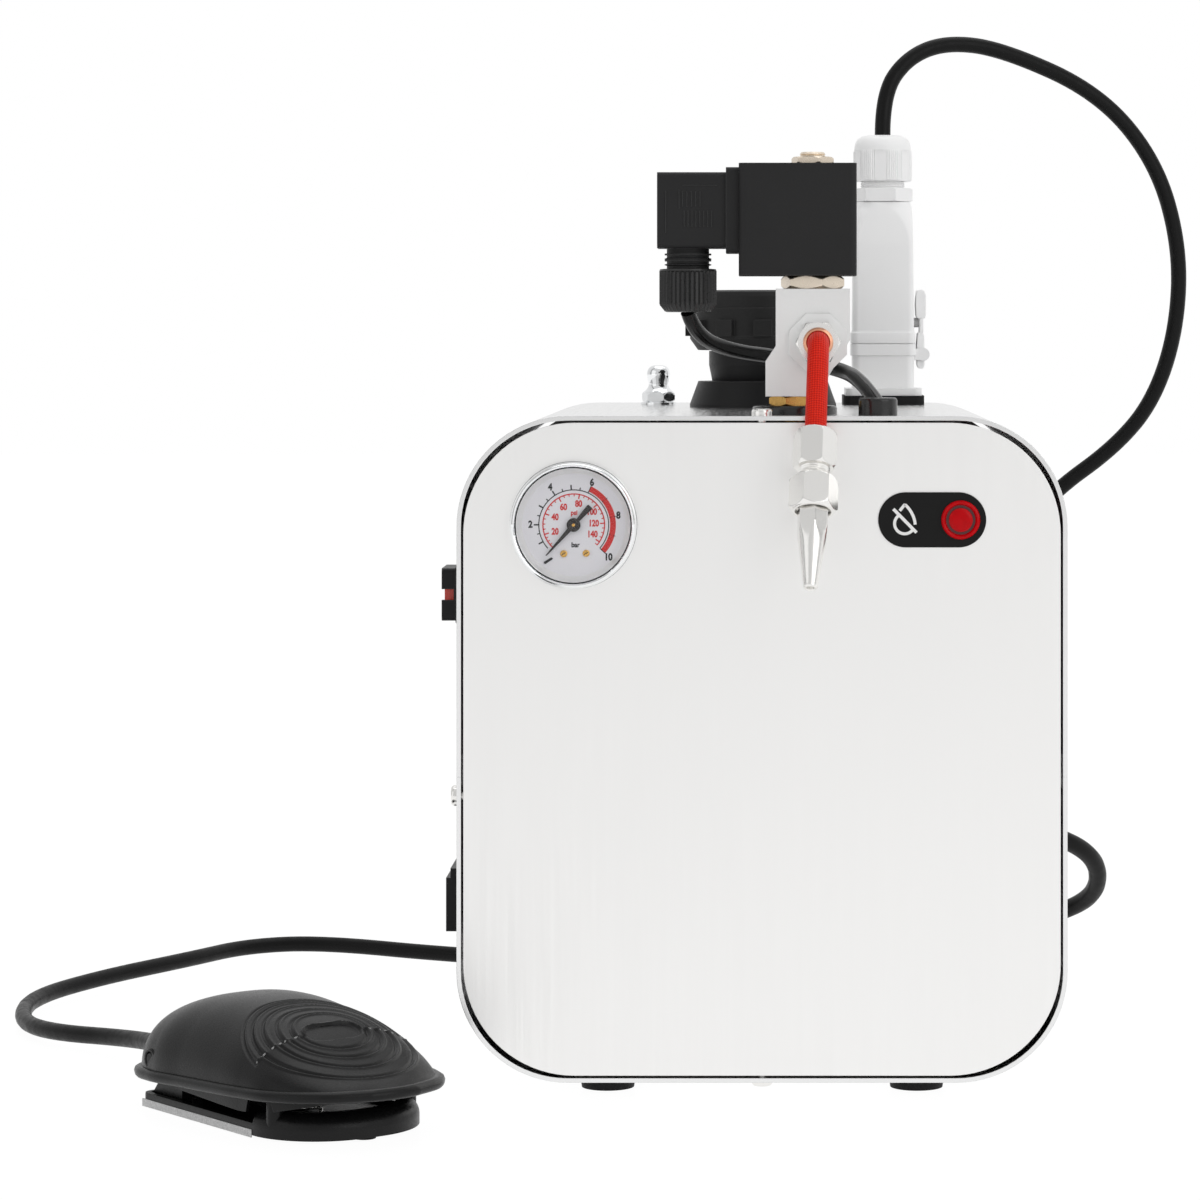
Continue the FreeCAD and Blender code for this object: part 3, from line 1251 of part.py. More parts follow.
def valve_plunger():
    low = plunger_low()
    plunger = join([
        rod(PLUNGER_RADIUS, vec(0, 0, low), vec(0, 0, low + PLUNGER_LENGTH)),
        rod(
            PLUNGER_SEAT_RADIUS - PLUNGER_SEAT_CLEARANCE,
            vec(0, 0, low - PLUNGER_SEAT_HEIGHT), vec(0, 0, low),
        ),
    ])
    return placed(plunger, vec(VALVE_HEAD_X, VALVE_Y, 0), X, Y)


def plunger_spring():
    """The return spring above the plunger, as the tube that it winds round."""
    low = plunger_low() + PLUNGER_LENGTH
    high = low + PLUNGER_TRAVEL + PLUNGER_ROOM
    outer = PLUNGER_RADIUS - PLUNGER_SEAT_CLEARANCE
    return ring(outer, outer - PLUNGER_SPRING_WIRE, vec(VALVE_HEAD_X, VALVE_Y, low), vec(VALVE_HEAD_X, VALVE_Y, high))


def coil():
    """The moulded magnet coil that slips over the armature tube."""
    shape = slab(COIL_WIDTH, COIL_DEPTH, COIL_CORNER, COIL_Z, COIL_TOP, (COIL_LEFT + COIL_RIGHT) / 2)
    bore = rod(
        ARMATURE_RADIUS + COIL_CLEARANCE, vec(VALVE_HEAD_X, 0, COIL_Z), vec(VALVE_HEAD_X, 0, COIL_TOP)
    )
    return placed(shape.cut(bore), vec(0, VALVE_Y, 0), X, Y)


def coil_nut():
    nut = chamfered_hexagon(COIL_NUT_ACROSS, COIL_TOP, COIL_TOP + COIL_NUT_HEIGHT, 8)
    nut = nut.cut(rod(ARMATURE_STUB_RADIUS, vec(0, 0, COIL_TOP), vec(0, 0, COIL_TOP + COIL_NUT_HEIGHT)))
    return placed(nut, vec(VALVE_HEAD_X, VALVE_Y, 0), X, Y)


def coil_plug():
    """The square plug on the side of the coil, with its flange and the threaded neck below."""
    middle_z = PLUG_Z + PLUG_HEIGHT / 2
    flange = slab(PLUG_FLANGE_DEPTH, PLUG_FLANGE_HEIGHT, PLUG_CORNER, 0, PLUG_FLANGE_WIDTH)
    body = slab(PLUG_DEPTH, PLUG_HEIGHT, PLUG_CORNER, PLUG_FLANGE_WIDTH, PLUG_FLANGE_WIDTH + PLUG_WIDTH)
    plug = placed(join([flange, body]), vec(COIL_LEFT, 0, middle_z), -Y, Z)
    low = PLUG_Z - PLUG_NECK_HEIGHT
    parts = [plug, rod(PLUG_NECK_RADIUS, vec(PLUG_X, 0, low), vec(PLUG_X, 0, PLUG_Z + 1))]
    for step in (0.25, 0.55):
        z = PLUG_Z - PLUG_NECK_HEIGHT * step
        low = vec(PLUG_X, 0, z - PLUG_RING_HEIGHT)
        parts.append(rod(PLUG_NECK_RADIUS + PLUG_RING_OUT, low, vec(PLUG_X, 0, z)))
    return placed(join(parts), vec(0, VALVE_Y, 0), X, Y)


def coil_plug_gland_nut():
    top = PLUG_Z - PLUG_NECK_HEIGHT
    low = top - GLAND_NUT_HEIGHT
    profile = [
        (0, low), (GLAND_NUT_RADIUS - GLAND_CHAMFER, low), (GLAND_NUT_RADIUS, low + GLAND_CHAMFER),
        (GLAND_NUT_RADIUS, top), (0, top),
    ]
    nut = ribbed(turned(profile), GLAND_NUT_RADIUS, low + GLAND_CHAMFER, top - 1.5, GLAND_NUT_RIBS)
    return placed(nut, vec(PLUG_X, VALVE_Y, 0), X, Y)


def cable_bush():
    """The moulded bush that the valve cable goes down through."""
    bush = join([
        rod(BUSH_RADIUS, vec(0, 0, 0), vec(0, 0, BUSH_HEIGHT)),
        rod(BUSH_STEM_RADIUS, vec(0, 0, -BUSH_STEM_LENGTH), vec(0, 0, 0)),
    ])
    rim = [e for e in bush.Edges if e.CenterOfMass.z > BUSH_HEIGHT * 0.9]
    return on_top(bush.makeFillet(BUSH_ROUNDING, rim), BUSH_X, BUSH_Y)


# ---------------------------------------------------------------- nozzle
def nozzle_way():
    """The way the nozzle points: down, tipped forward and leaning a little to the left."""
    tilt = math.radians(NOZZLE_TILT)
    lean = math.radians(NOZZLE_LEAN)
    down = math.cos(tilt) * math.cos(lean)
    return vec(-math.sin(lean), -math.sin(tilt) * math.cos(lean), -down)


def nozzle_start():
    """Where the bent tube ends and the nozzle's fittings begin."""
    return tube_corner() + nozzle_way() * TUBE_DOWN


def port_face():
    """The middle of the octagon's front face."""
    return vec(PORT_X, VALVE_Y - VALVE_DEPTH / 2 - PORT_BOSS_LENGTH, PORT_Z)


def tube_corner():
    return port_face() - Y * (PORT_NUT_LENGTH + TUBE_FORWARD)


def along_nozzle(shape):
    """Drawn with z along the nozzle from the tube's end."""
    way = nozzle_way()
    side = way.cross(Y).normalize()
    return placed(shape, nozzle_start(), side, way.cross(side))


def nozzle_stations():
    """Distances along the nozzle: nut end, neck end, union end, nozzle shoulder and tip."""
    nut = COMPRESSION_LENGTH
    neck = nut + UNION_NECK_LENGTH
    union = neck + UNION_LENGTH
    shoulder = union + NOZZLE_LENGTH
    return nut, neck, union, shoulder, shoulder + NOZZLE_TAPER_LENGTH


def port_nut():
    """The six-sided nut on the port, with the copper ferrule in its mouth."""
    nut = chamfered_hexagon(PORT_NUT_ACROSS, 0, PORT_NUT_LENGTH, 20)
    end = vec(0, 0, PORT_NUT_LENGTH)
    nut = join([nut, rod(FERRULE_RADIUS, vec(0, 0, 0), end + Z * FERRULE_LENGTH)])
    nut = nut.cut(rod(STEAM_TUBE_RADIUS, vec(0, 0, 0), end + Z * FERRULE_LENGTH))
    return placed(nut, port_face(), X, Z)


def tube_route(from_face, into_nut):
    """The bent tube's middle line, from a distance before the port face to one inside the nut."""
    start = port_face() - Y * from_face
    end = nozzle_start() + nozzle_way() * into_nut
    return [tuple(start), tuple(tube_corner()), tuple(end)]


def steam_tube():
    """The metal tube from inside the port to inside the compression nut."""
    tube, _, _ = swept_tube(tube_route(-PORT_BOSS_LENGTH, COMPRESSION_LENGTH / 2), STEAM_TUBE_RADIUS)
    return tube


def tube_sleeve():
    """The woven heat sleeve over the bare stretch of the tube."""
    outer, _, _ = swept_tube(tube_route(PORT_NUT_LENGTH + FERRULE_LENGTH, 0), SLEEVE_RADIUS)
    return outer.cut(steam_tube())


def compression_nut():
    nut, neck, _, _, _ = nozzle_stations()
    shape = chamfered_hexagon(COMPRESSION_ACROSS, 0, nut, 15)
    shape = join([shape, rod(UNION_NECK_RADIUS, vec(0, 0, nut), vec(0, 0, neck + UNION_THREAD))])
    shape = shape.cut(rod(STEAM_TUBE_RADIUS, vec(0, 0, 0), vec(0, 0, nut / 2)))
    bore = rod(NOZZLE_BORE_RADIUS, vec(0, 0, nut / 2), vec(0, 0, neck + UNION_THREAD))
    return along_nozzle(shape.cut(bore))


def nozzle_union():
    _, neck, union, _, _ = nozzle_stations()
    shape = chamfered_hexagon(UNION_ACROSS, neck, union, 0)
    shape = shape.cut(rod(UNION_NECK_RADIUS, vec(0, 0, neck), vec(0, 0, neck + UNION_THREAD)))
    return along_nozzle(shape.cut(rod(UNION_NECK_RADIUS * 0.8, vec(0, 0, neck), vec(0, 0, union))))


def nozzle():
    """The faceted steam nozzle, held in the union."""
    _, neck, union, shoulder, tip = nozzle_stations()
    shape = join([
        rod(UNION_NECK_RADIUS * 0.8, vec(0, 0, neck + UNION_THREAD), vec(0, 0, union)),
        chamfered_hexagon(NOZZLE_ACROSS, union, shoulder, 0),
        taper(NOZZLE_ACROSS * 0.43, NOZZLE_TIP_RADIUS, vec(0, 0, shoulder - 1), vec(0, 0, tip)),
    ])
    return along_nozzle(shape.cut(rod(NOZZLE_BORE_RADIUS, vec(0, 0, neck), vec(0, 0, tip + 1))))


# ---------------------------------------------------------------- pedal connector
def on_connector(shape, height):
    return placed(shape, vec(CONNECTOR_X, CONNECTOR_Y, height), X, Y)


def connector_gasket():
    pad = slab(CONNECTOR_PAD_WIDTH, CONNECTOR_PAD_LENGTH, CONNECTOR_CORNER, 0, CONNECTOR_PAD_HEIGHT)
    opening = slab(HOOD_SPIGOT_WIDTH, HOOD_SPIGOT_WIDTH, CONNECTOR_CORNER, -1, CONNECTOR_PAD_HEIGHT + 1)
    return on_connector(pad.cut(opening), TOP_Z)


def lever_pivot_x():
    """How far the lever's pin stands out from the connector's middle."""
    return CONNECTOR_WIDTH / 2 + CONNECTOR_BEAD + LEVER_GAP + LEVER_PIVOT_RADIUS


def connector_base():
    """The fixed half: a flange, a socket with a bead round its mouth, and the ears of the lever's pin."""
    wide = CONNECTOR_WIDTH
    bead = wide + 2 * CONNECTOR_BEAD
    top = CONNECTOR_BASE_HEIGHT
    low = -CONNECTOR_FLANGE_HEIGHT
    parts = [
        slab(CONNECTOR_FLANGE_WIDTH, CONNECTOR_FLANGE_LENGTH, CONNECTOR_CORNER, low, 0),
        slab(wide, wide, CONNECTOR_CORNER, 0, top),
        slab(bead, bead, CONNECTOR_CORNER, top - CONNECTOR_BEAD_HEIGHT, top),
        slab(
            HOOD_SPIGOT_WIDTH, HOOD_SPIGOT_WIDTH, CONNECTOR_CORNER,
            low - CONNECTOR_PAD_HEIGHT - SHELL_THICKNESS * 4, 0,
        ),
    ]
    pin_x = lever_pivot_x()
    ear_z = LEVER_PIVOT_HEIGHT
    for side in (-1, 1):
        y = sorted((side * (LEVER_WIDTH / 2 + LEVER_GAP), side * (LEVER_WIDTH / 2 + LEVER_THICKNESS)))
        ear = join([
            rod(LEVER_PIVOT_RADIUS, vec(pin_x, y[0], ear_z), vec(pin_x, y[1], ear_z)),
            block((wide / 2 - 1, pin_x), y, (ear_z - LEVER_EAR_HALF_HEIGHT, ear_z + LEVER_EAR_HALF_HEIGHT)),
        ])
        parts.append(ear)
    reach = vec(0, LEVER_WIDTH / 2 + LEVER_THICKNESS, 0)
    pin = vec(pin_x, 0, LEVER_PIVOT_HEIGHT)
    parts.append(rod(LEVER_PIN_RADIUS, pin - reach, pin + reach))
    room = HOOD_SPIGOT_WIDTH + 2 * HOOD_SPIGOT_CLEARANCE
    socket = slab(room, room, CONNECTOR_CORNER, top - HOOD_SPIGOT_DEPTH - 1, top + 1)
    return on_connector(join(parts).cut(socket), CONNECTOR_BASE_Z)


def connector_hood():
    """The pull-off half: a spigot, a bead, a tall body shaved towards its top, a collar and a thread."""
    wide = CONNECTOR_WIDTH
    bead = wide + 2 * CONNECTOR_BEAD
    body = slab(wide, wide, HOOD_CORNER, 0, HOOD_HEIGHT)
    for way in (Y, -Y):
        body = body.cut(hood_wedge(way))
    collar_top = HOOD_HEIGHT + HOOD_HEX_HEIGHT
    peg_z = CONNECTOR_BASE_Z + LEVER_PEG_HEIGHT - CONNECTOR_SEAM_Z
    peg = rod(LEVER_PEG_RADIUS, vec(wide / 2 - 1, 0, peg_z), vec(wide / 2 + LEVER_PEG_REACH, 0, peg_z))
    parts = [
        body,
        slab(bead, bead, CONNECTOR_CORNER, 0, CONNECTOR_BEAD_HEIGHT),
        slab(HOOD_SPIGOT_WIDTH, HOOD_SPIGOT_WIDTH, CONNECTOR_CORNER, -HOOD_SPIGOT_DEPTH, 0),
        hexagon(HOOD_HEX_ACROSS, HOOD_HEIGHT, collar_top),
        rod(HOOD_THREAD_RADIUS, vec(0, 0, collar_top), vec(0, 0, collar_top + HOOD_THREAD_HEIGHT)),
        peg,
    ]
    return on_connector(join(parts), CONNECTOR_SEAM_Z)


def hood_wedge(way):
    """What is shaved off the front or the back of the hood towards its top."""
    low = HOOD_HEIGHT * HOOD_SHAVE_FROM
    half = CONNECTOR_WIDTH / 2
    corners = [
        vec(-half - 1, way.y * (half + 1), low), vec(-half - 1, way.y * half, low),
        vec(-half - 1, way.y * (half - HOOD_SHAVE), HOOD_HEIGHT + 1),
        vec(-half - 1, way.y * (half + 1), HOOD_HEIGHT + 1),
    ]
    return Part.Face(Part.makePolygon(corners + corners[:1])).extrude(X * (2 * half + 2))


def connector_gland_nut():
    """The ribbed clamping nut with a domed crown."""
    top = CORD_NUT_HEIGHT + CORD_NUT_DOME
    profile = [
        (0, 0), (CORD_NUT_RADIUS, 0), (CORD_NUT_RADIUS, CORD_NUT_HEIGHT),
        (CORD_NUT_RADIUS * 0.95, CORD_NUT_HEIGHT + CORD_NUT_DOME * 0.35),
        (CORD_NUT_RADIUS * 0.8, CORD_NUT_HEIGHT + CORD_NUT_DOME * 0.75),
        (CORD_NUT_RADIUS * 0.55, top), (0, top),
    ]
    nut = ribbed(turned(profile), CORD_NUT_RADIUS, 1.0, CORD_NUT_HEIGHT - 1.0, CORD_NUT_RIBS)
    return on_connector(nut, CORD_NUT_Z)


def locking_lever():
    """The side lever: a barrel on the pin, a plate slotted for the hood's peg, and a finger wing."""
    pin_x = lever_pivot_x()
    pivot = vec(pin_x, 0, LEVER_PIVOT_HEIGHT)
    half = vec(0, LEVER_WIDTH / 2, 0)
    plate_x = (pin_x - LEVER_THICKNESS / 2, pin_x + LEVER_THICKNESS / 2)
    y = (-LEVER_WIDTH / 2, LEVER_WIDTH / 2)
    wing_low = LEVER_TOP_HEIGHT - LEVER_WING_HEIGHT
    wing_x = (plate_x[1] - LEVER_THICKNESS, plate_x[1] + LEVER_WING_OUT - LEVER_THICKNESS)
    lever = join([
        rod(LEVER_PIVOT_RADIUS, pivot - half, pivot + half),
        block(plate_x, y, (LEVER_PIVOT_HEIGHT, LEVER_TOP_HEIGHT)),
        block(wing_x, y, (wing_low, LEVER_TOP_HEIGHT)),
    ])
    lever = lever.cut(rod(LEVER_PIN_RADIUS + LEVER_PIN_CLEARANCE, pivot - half, pivot + half))
    slot = LEVER_PEG_RADIUS + LEVER_SLOT_MARGIN
    window_x = (pin_x - LEVER_WIDTH / 2, pin_x + LEVER_WIDTH / 2)
    window = block(window_x, (-slot, slot), (LEVER_PEG_HEIGHT - slot, LEVER_PEG_HEIGHT + slot))
    return on_connector(lever.cut(window), CONNECTOR_BASE_Z)


# ---------------------------------------------------------------- pressure gauge
def glass_radius():
    return BEZEL_OPENING_RADIUS + GLASS_GROOVE


def gauge_case():
    """Barrel, bezel and the post that carries the needle's arbor."""
    cavity = GAUGE_BARREL_RADIUS - GAUGE_WALL
    ledge = cavity - DIAL_LEDGE
    dial_back = -DIAL_DEPTH - DIAL_THICKNESS
    glass_top = GLASS_HEIGHT + GLASS_THICKNESS
    floor = GAUGE_FLOOR - GAUGE_BARREL_DEPTH
    profile = [
        (0, -GAUGE_BARREL_DEPTH), (GAUGE_BARREL_RADIUS, -GAUGE_BARREL_DEPTH),
        (GAUGE_BARREL_RADIUS, 0), (BEZEL_RADIUS, 0), (BEZEL_RADIUS, BEZEL_HEIGHT - 3 * BEZEL_ROUNDING),
        (BEZEL_RADIUS - BEZEL_ROUNDING, BEZEL_HEIGHT - BEZEL_ROUNDING),
        (BEZEL_RADIUS - 3 * BEZEL_ROUNDING, BEZEL_HEIGHT),
        (BEZEL_OPENING_RADIUS + BEZEL_ROUNDING, BEZEL_HEIGHT - BEZEL_ROUNDING),
        (BEZEL_OPENING_RADIUS, glass_top),
        (glass_radius(), glass_top), (glass_radius(), GLASS_HEIGHT), (cavity, GLASS_HEIGHT),
        (cavity, dial_back), (ledge, dial_back), (ledge, floor), (0, floor),
    ]
    post = rod(MOVEMENT_POST_RADIUS, vec(0, 0, floor), vec(0, 0, dial_back))
    stem = rod(GAUGE_STEM_RADIUS, vec(0, 0, -GAUGE_BARREL_DEPTH - GAUGE_STEM_LENGTH), vec(0, 0, floor))
    case = join([turned(profile), post, stem])
    case = case.cut(rod(ARBOR_RADIUS + ARBOR_CLEARANCE, vec(0, 0, -ARBOR_DEPTH - 1), vec(0, 0, 1)))
    return on_front(case, GAUGE_X, GAUGE_Z)


def gauge_dial():
    """The dial disc with the needle's stop pin."""
    top = -DIAL_DEPTH
    radius = GAUGE_BARREL_RADIUS - GAUGE_WALL - 0.1
    dial = rod(radius, vec(0, 0, top - DIAL_THICKNESS), vec(0, 0, top))
    dial = dial.cut(rod(ARBOR_RADIUS + ARBOR_CLEARANCE, vec(0, 0, -9), vec(0, 0, 9)))
    angle = math.radians(STOP_PIN_ANGLE)
    foot = vec(STOP_PIN_REACH * math.cos(angle), STOP_PIN_REACH * math.sin(angle), top - 0.2)
    pin = rod(STOP_PIN_RADIUS, foot, foot + Z * (STOP_PIN_HEIGHT - top))
    return on_front(join([dial, pin]), GAUGE_X, GAUGE_Z)


def gauge_needle():
    """Tapered pointer, round hub and arbor, at rest on the zero mark."""
    low = NEEDLE_HEIGHT
    high = low + NEEDLE_THICKNESS
    outline = [
        vec(-NEEDLE_TAIL, -NEEDLE_WIDTH / 2, low), vec(NEEDLE_LENGTH, -NEEDLE_TIP_WIDTH / 2, low),
        vec(NEEDLE_LENGTH, NEEDLE_TIP_WIDTH / 2, low), vec(-NEEDLE_TAIL, NEEDLE_WIDTH / 2, low),
    ]
    pointer = Part.Face(Part.makePolygon(outline + outline[:1])).extrude(vec(0, 0, high - low))
    needle = join([
        pointer,
        rod(NEEDLE_HUB_RADIUS, vec(0, 0, -DIAL_DEPTH + 0.3), vec(0, 0, high + 0.5)),
        rod(ARBOR_RADIUS, vec(0, 0, -ARBOR_DEPTH), vec(0, 0, low)),
    ])
    needle.rotate(vec(0, 0, 0), Z, NEEDLE_REST_ANGLE)
    return on_front(needle, GAUGE_X, GAUGE_Z)


def gauge_glass():
    glass = rod(glass_radius(), vec(0, 0, GLASS_HEIGHT), vec(0, 0, GLASS_HEIGHT + GLASS_THICKNESS))
    return on_front(glass, GAUGE_X, GAUGE_Z)


# ---------------------------------------------------------------- water lamp
def indicator_plate():
    plate = slab(PLATE_WIDTH, PLATE_HEIGHT, PLATE_HEIGHT / 2, 0, PLATE_THICKNESS)
    hole = rod(LAMP_BODY_RADIUS, vec(LAMP_FROM_PLATE_CENTRE, 0, -1), vec(LAMP_FROM_PLATE_CENTRE, 0, 2))
    return on_front(plate.cut(hole), PLATE_X, PLATE_Z)


def indicator_lamp():
    """A red lens with a round rim, on a body that goes through the panel."""
    rim_top = PLATE_THICKNESS + LAMP_RIM_HEIGHT
    profile = [
        (0, -LAMP_BODY_DEPTH), (LAMP_BODY_RADIUS, -LAMP_BODY_DEPTH),
        (LAMP_BODY_RADIUS, PLATE_THICKNESS), (LAMP_RIM_RADIUS, PLATE_THICKNESS),
        (LAMP_RIM_RADIUS, rim_top - 0.8), (LAMP_RIM_RADIUS - 0.8, rim_top),
        (LAMP_LENS_RADIUS + 0.5, rim_top), (LAMP_LENS_RADIUS, rim_top - 0.4),
        (LAMP_LENS_RADIUS * 0.8, rim_top + LAMP_LENS_HEIGHT * 0.6),
        (LAMP_LENS_RADIUS * 0.4, rim_top + LAMP_LENS_HEIGHT * 0.95),
        (0, rim_top + LAMP_LENS_HEIGHT),
    ]
    return on_front(turned(profile), LAMP_X, PLATE_Z)


# ---------------------------------------------------------------- side switch and breaker
def rocker_bar(radius, extra):
    """A bar along the rocker's pivot, longer than the rocker by an amount at each end."""
    half = ROCKER_WIDTH / 2 + extra
    return rod(radius, vec(0, -half, ROCKER_PIVOT_OUT), vec(0, half, ROCKER_PIVOT_OUT))


def switch_frame():
    """Flange, raised guard with a notch at each end, and the switch body behind the wall."""
    guard = 2 * SWITCH_GUARD_INSET
    parts = [
        slab(SWITCH_LENGTH, SWITCH_HEIGHT, SWITCH_CORNER, 0, SWITCH_FLANGE),
        slab(SWITCH_LENGTH - guard, SWITCH_HEIGHT - guard, SWITCH_CORNER, 0, SWITCH_GUARD),
        slab(SWITCH_BODY_LENGTH, SWITCH_BODY_HEIGHT, SWITCH_CORNER, -SWITCH_BODY_DEPTH, 0),
    ]
    length = 2 * (ROCKER_RADIUS + ROCKER_CLEARANCE)
    well = block(
        (-length / 2, length / 2),
        (-ROCKER_WIDTH / 2 - ROCKER_CLEARANCE, ROCKER_WIDTH / 2 + ROCKER_CLEARANCE),
        (ROCKER_PIVOT_OUT - ROCKER_RADIUS - ROCKER_CLEARANCE, SWITCH_GUARD + 1),
    )
    notch = block(
        (-SWITCH_LENGTH, SWITCH_LENGTH), (-SWITCH_NOTCH / 2, SWITCH_NOTCH / 2),
        (SWITCH_GUARD - SWITCH_NOTCH_DEPTH, SWITCH_GUARD + 1),
    )
    frame = join(parts).cut(well).cut(notch)
    frame = frame.cut(rocker_bar(ROCKER_SHAFT_RADIUS + ROCKER_SHAFT_CLEARANCE, 2.0))
    frame = join([frame] + terminals(2, -SWITCH_BODY_DEPTH - TERMINAL_HEIGHT + 0.5))
    return on_left(frame, SWITCH_Y, SWITCH_Z)


def switch_rocker():
    """The rocker, resting with its front end out."""
    r = ROCKER_RADIUS
    z = ROCKER_PIVOT_OUT
    outline = [
        (-r * 0.95, z - 2), (r * 0.95, z - 2), (r * 0.97, z), (r * 0.83, z + ROCKER_CROWN),
        (0, z + ROCKER_CROWN * 0.75), (-r * 0.83, z + ROCKER_CROWN), (-r * 0.97, z),
    ]
    rocker = join([extruded_profile(outline, ROCKER_WIDTH), rocker_bar(ROCKER_SHAFT_RADIUS, 1.7)])
    rocker.rotate(vec(0, 0, z), Y, -ROCKER_THROW / 2)
    return on_left(rocker, SWITCH_Y, SWITCH_Z)


def breaker_well_y():
    """The button stands in the middle of the raised part of the breaker's face."""
    return -BREAKER_STEP_HEIGHT / 2


def breaker_body():
    """The overload breaker: a stepped face with a round well, and its body behind the wall."""
    low = -BREAKER_HEIGHT / 2
    x = (-BREAKER_LENGTH / 2, BREAKER_LENGTH / 2)
    parts = [
        block(x, (low, BREAKER_HEIGHT / 2), (0, BREAKER_STEP_OUT)),
        block(x, (low, BREAKER_HEIGHT / 2 - BREAKER_STEP_HEIGHT), (0, BREAKER_OUT)),
        slab(BREAKER_BODY_LENGTH, BREAKER_BODY_HEIGHT, SWITCH_CORNER, -BREAKER_BODY_DEPTH, 0),
    ]
    y = breaker_well_y()
    floor = BREAKER_OUT - BREAKER_WELL_DEPTH
    body = join(parts).cut(rod(BREAKER_WELL_RADIUS, vec(0, y, floor), vec(0, y, BREAKER_OUT + 1)))
    bore = BREAKER_BUTTON_RADIUS + BREAKER_BUTTON_CLEARANCE
    depth = floor + BREAKER_BUTTON_OUT - BREAKER_BUTTON_LENGTH - BREAKER_BUTTON_TRAVEL - 1
    body = body.cut(rod(bore, vec(0, y, depth), vec(0, y, BREAKER_OUT)))
    return on_left(body, BREAKER_Y, BREAKER_Z)


def breaker_button():
    y = breaker_well_y()
    top = BREAKER_OUT - BREAKER_WELL_DEPTH + BREAKER_BUTTON_OUT
    button = rod(BREAKER_BUTTON_RADIUS, vec(0, y, top - BREAKER_BUTTON_LENGTH), vec(0, y, top))
    rim = [e for e in button.Edges if e.CenterOfMass.z > top - 0.1]
    return on_left(button.makeFillet(0.8, rim), BREAKER_Y, BREAKER_Z)


# ---------------------------------------------------------------- mains lead
def mains_strain_relief():
    """The flanged, tapered relief in the back panel."""
    face = BACK_Y - PANEL_RECESS
    start = vec(MAINS_X, face, MAINS_HEIGHT)
    tip = vec(MAINS_X, BACK_Y + RELIEF_LENGTH, MAINS_HEIGHT)
    return join([
        rod(RELIEF_FLANGE_RADIUS, start, start + Y * RELIEF_FLANGE_THICKNESS),
        rod(RELIEF_BASE_RADIUS, start - Y * RELIEF_INSIDE, start),
        taper(RELIEF_BASE_RADIUS, RELIEF_TIP_RADIUS, start, tip),
    ])


def mains_cord():
    return cord("mains_cord", moved(MAINS_ROUTE, MAINS_X, BACK_Y, 0), MAINS_CORD_RADIUS)


def mains_coil():
    """The outer shape of the put-away turns, lying on the counter."""
    across = COIL_TURNS_ACROSS * 2 * MAINS_CORD_RADIUS + COIL_SLACK
    high = COIL_TURNS_HIGH * 2 * MAINS_CORD_RADIUS + COIL_SLACK
    inner = COIL_MIDDLE_RADIUS - across / 2
    outer = COIL_MIDDLE_RADIUS + across / 2
    body = ring(outer, inner, vec(0, 0, 0), vec(0, 0, high))
    rims = [e for e in body.Edges if e.Curve.TypeId == "Part::GeomCircle"]
    body = body.makeFillet(MAINS_CORD_RADIUS * 0.8, rims)
    return placed(body, vec(COIL_CENTRE_X, COIL_CENTRE_Y, 0), X, Y)


def mains_plug():
    """A plain three-pin plug lying where the last turn leaves the coil."""
    z = MAINS_PLUG_THICKNESS / 2
    outer = COIL_MIDDLE_RADIUS + COIL_TURNS_ACROSS * MAINS_CORD_RADIUS + COIL_SLACK / 2
    y = COIL_CENTRE_Y + COIL_MIDDLE_RADIUS
    x = COIL_CENTRE_X - math.sqrt(outer ** 2 - COIL_MIDDLE_RADIUS ** 2) + 1.0
    boot_end = x - MAINS_PLUG_BOOT
    boot = taper(
        MAINS_PLUG_BOOT_RADIUS * 0.85, MAINS_PLUG_BOOT_RADIUS * 1.2, vec(x, y, z), vec(boot_end, y, z)
    )
    body = slab(MAINS_PLUG_WIDTH, MAINS_PLUG_THICKNESS, MAINS_PLUG_CORNER, 0, MAINS_PLUG_LENGTH)
    face = boot_end - MAINS_PLUG_LENGTH
    parts = [boot, placed(body, vec(face, y, z), Y, Z)]
    blade_z = z - MAINS_BLADE_DROP
    for side in (-1, 1):
        middle = y + side * MAINS_BLADE_SPACING / 2
        blade = block(
            (face - MAINS_BLADE_LENGTH, face + 1),
            (middle - MAINS_BLADE_THICKNESS / 2, middle + MAINS_BLADE_THICKNESS / 2),
            (blade_z - MAINS_BLADE_WIDTH / 2, blade_z + MAINS_BLADE_WIDTH / 2),
        )
        parts.append(blade)
    pin_z = blade_z + MAINS_PIN_RISE
    parts.append(rod(MAINS_PIN_RADIUS, vec(face - MAINS_PIN_LENGTH, y, pin_z), vec(face + 1, y, pin_z)))
    return join(parts)


# ---------------------------------------------------------------- foot pedal
def on_pedal(shape):
    """Drawn with x from the pedal's rear to its toe and y to its right-hand rear side."""
    angle = math.radians(PEDAL_HEADING)
    along = vec(math.cos(angle), math.sin(angle), 0)
    return placed(shape, vec(PEDAL_REAR_X, PEDAL_REAR_Y, 0), along, Z.cross(along))


def footprint(inset, low, high):
    """The pedal base's outline: small corners at the rear, a broad rounded toe."""
    half = PEDAL_BASE_WIDTH / 2 - inset
    rear = max(PEDAL_REAR_CORNER - inset, 1.0)
    toe = PEDAL_TOE_CORNER - inset
    end = PEDAL_BASE_LENGTH - inset
    corners = [
        (end - toe, half - toe, toe, 0), (inset + rear, half - rear, rear, QUARTER),
        (inset + rear, rear - half, rear, 2 * QUARTER), (end - toe, toe - half, toe, 3 * QUARTER),
    ]
    arcs = [Part.makeCircle(r, vec(x, y, low), Z, a, a + QUARTER) for x, y, r, a in corners]
    edges = []
    for arc, following in zip(arcs, arcs[1:] + arcs[:1]):
        edges.append(arc)
        edges.append(Part.makeLine(arc.Vertexes[-1].Point, following.Vertexes[0].Point))
    return Part.Face(Part.Wire(edges)).extrude(vec(0, 0, high - low))


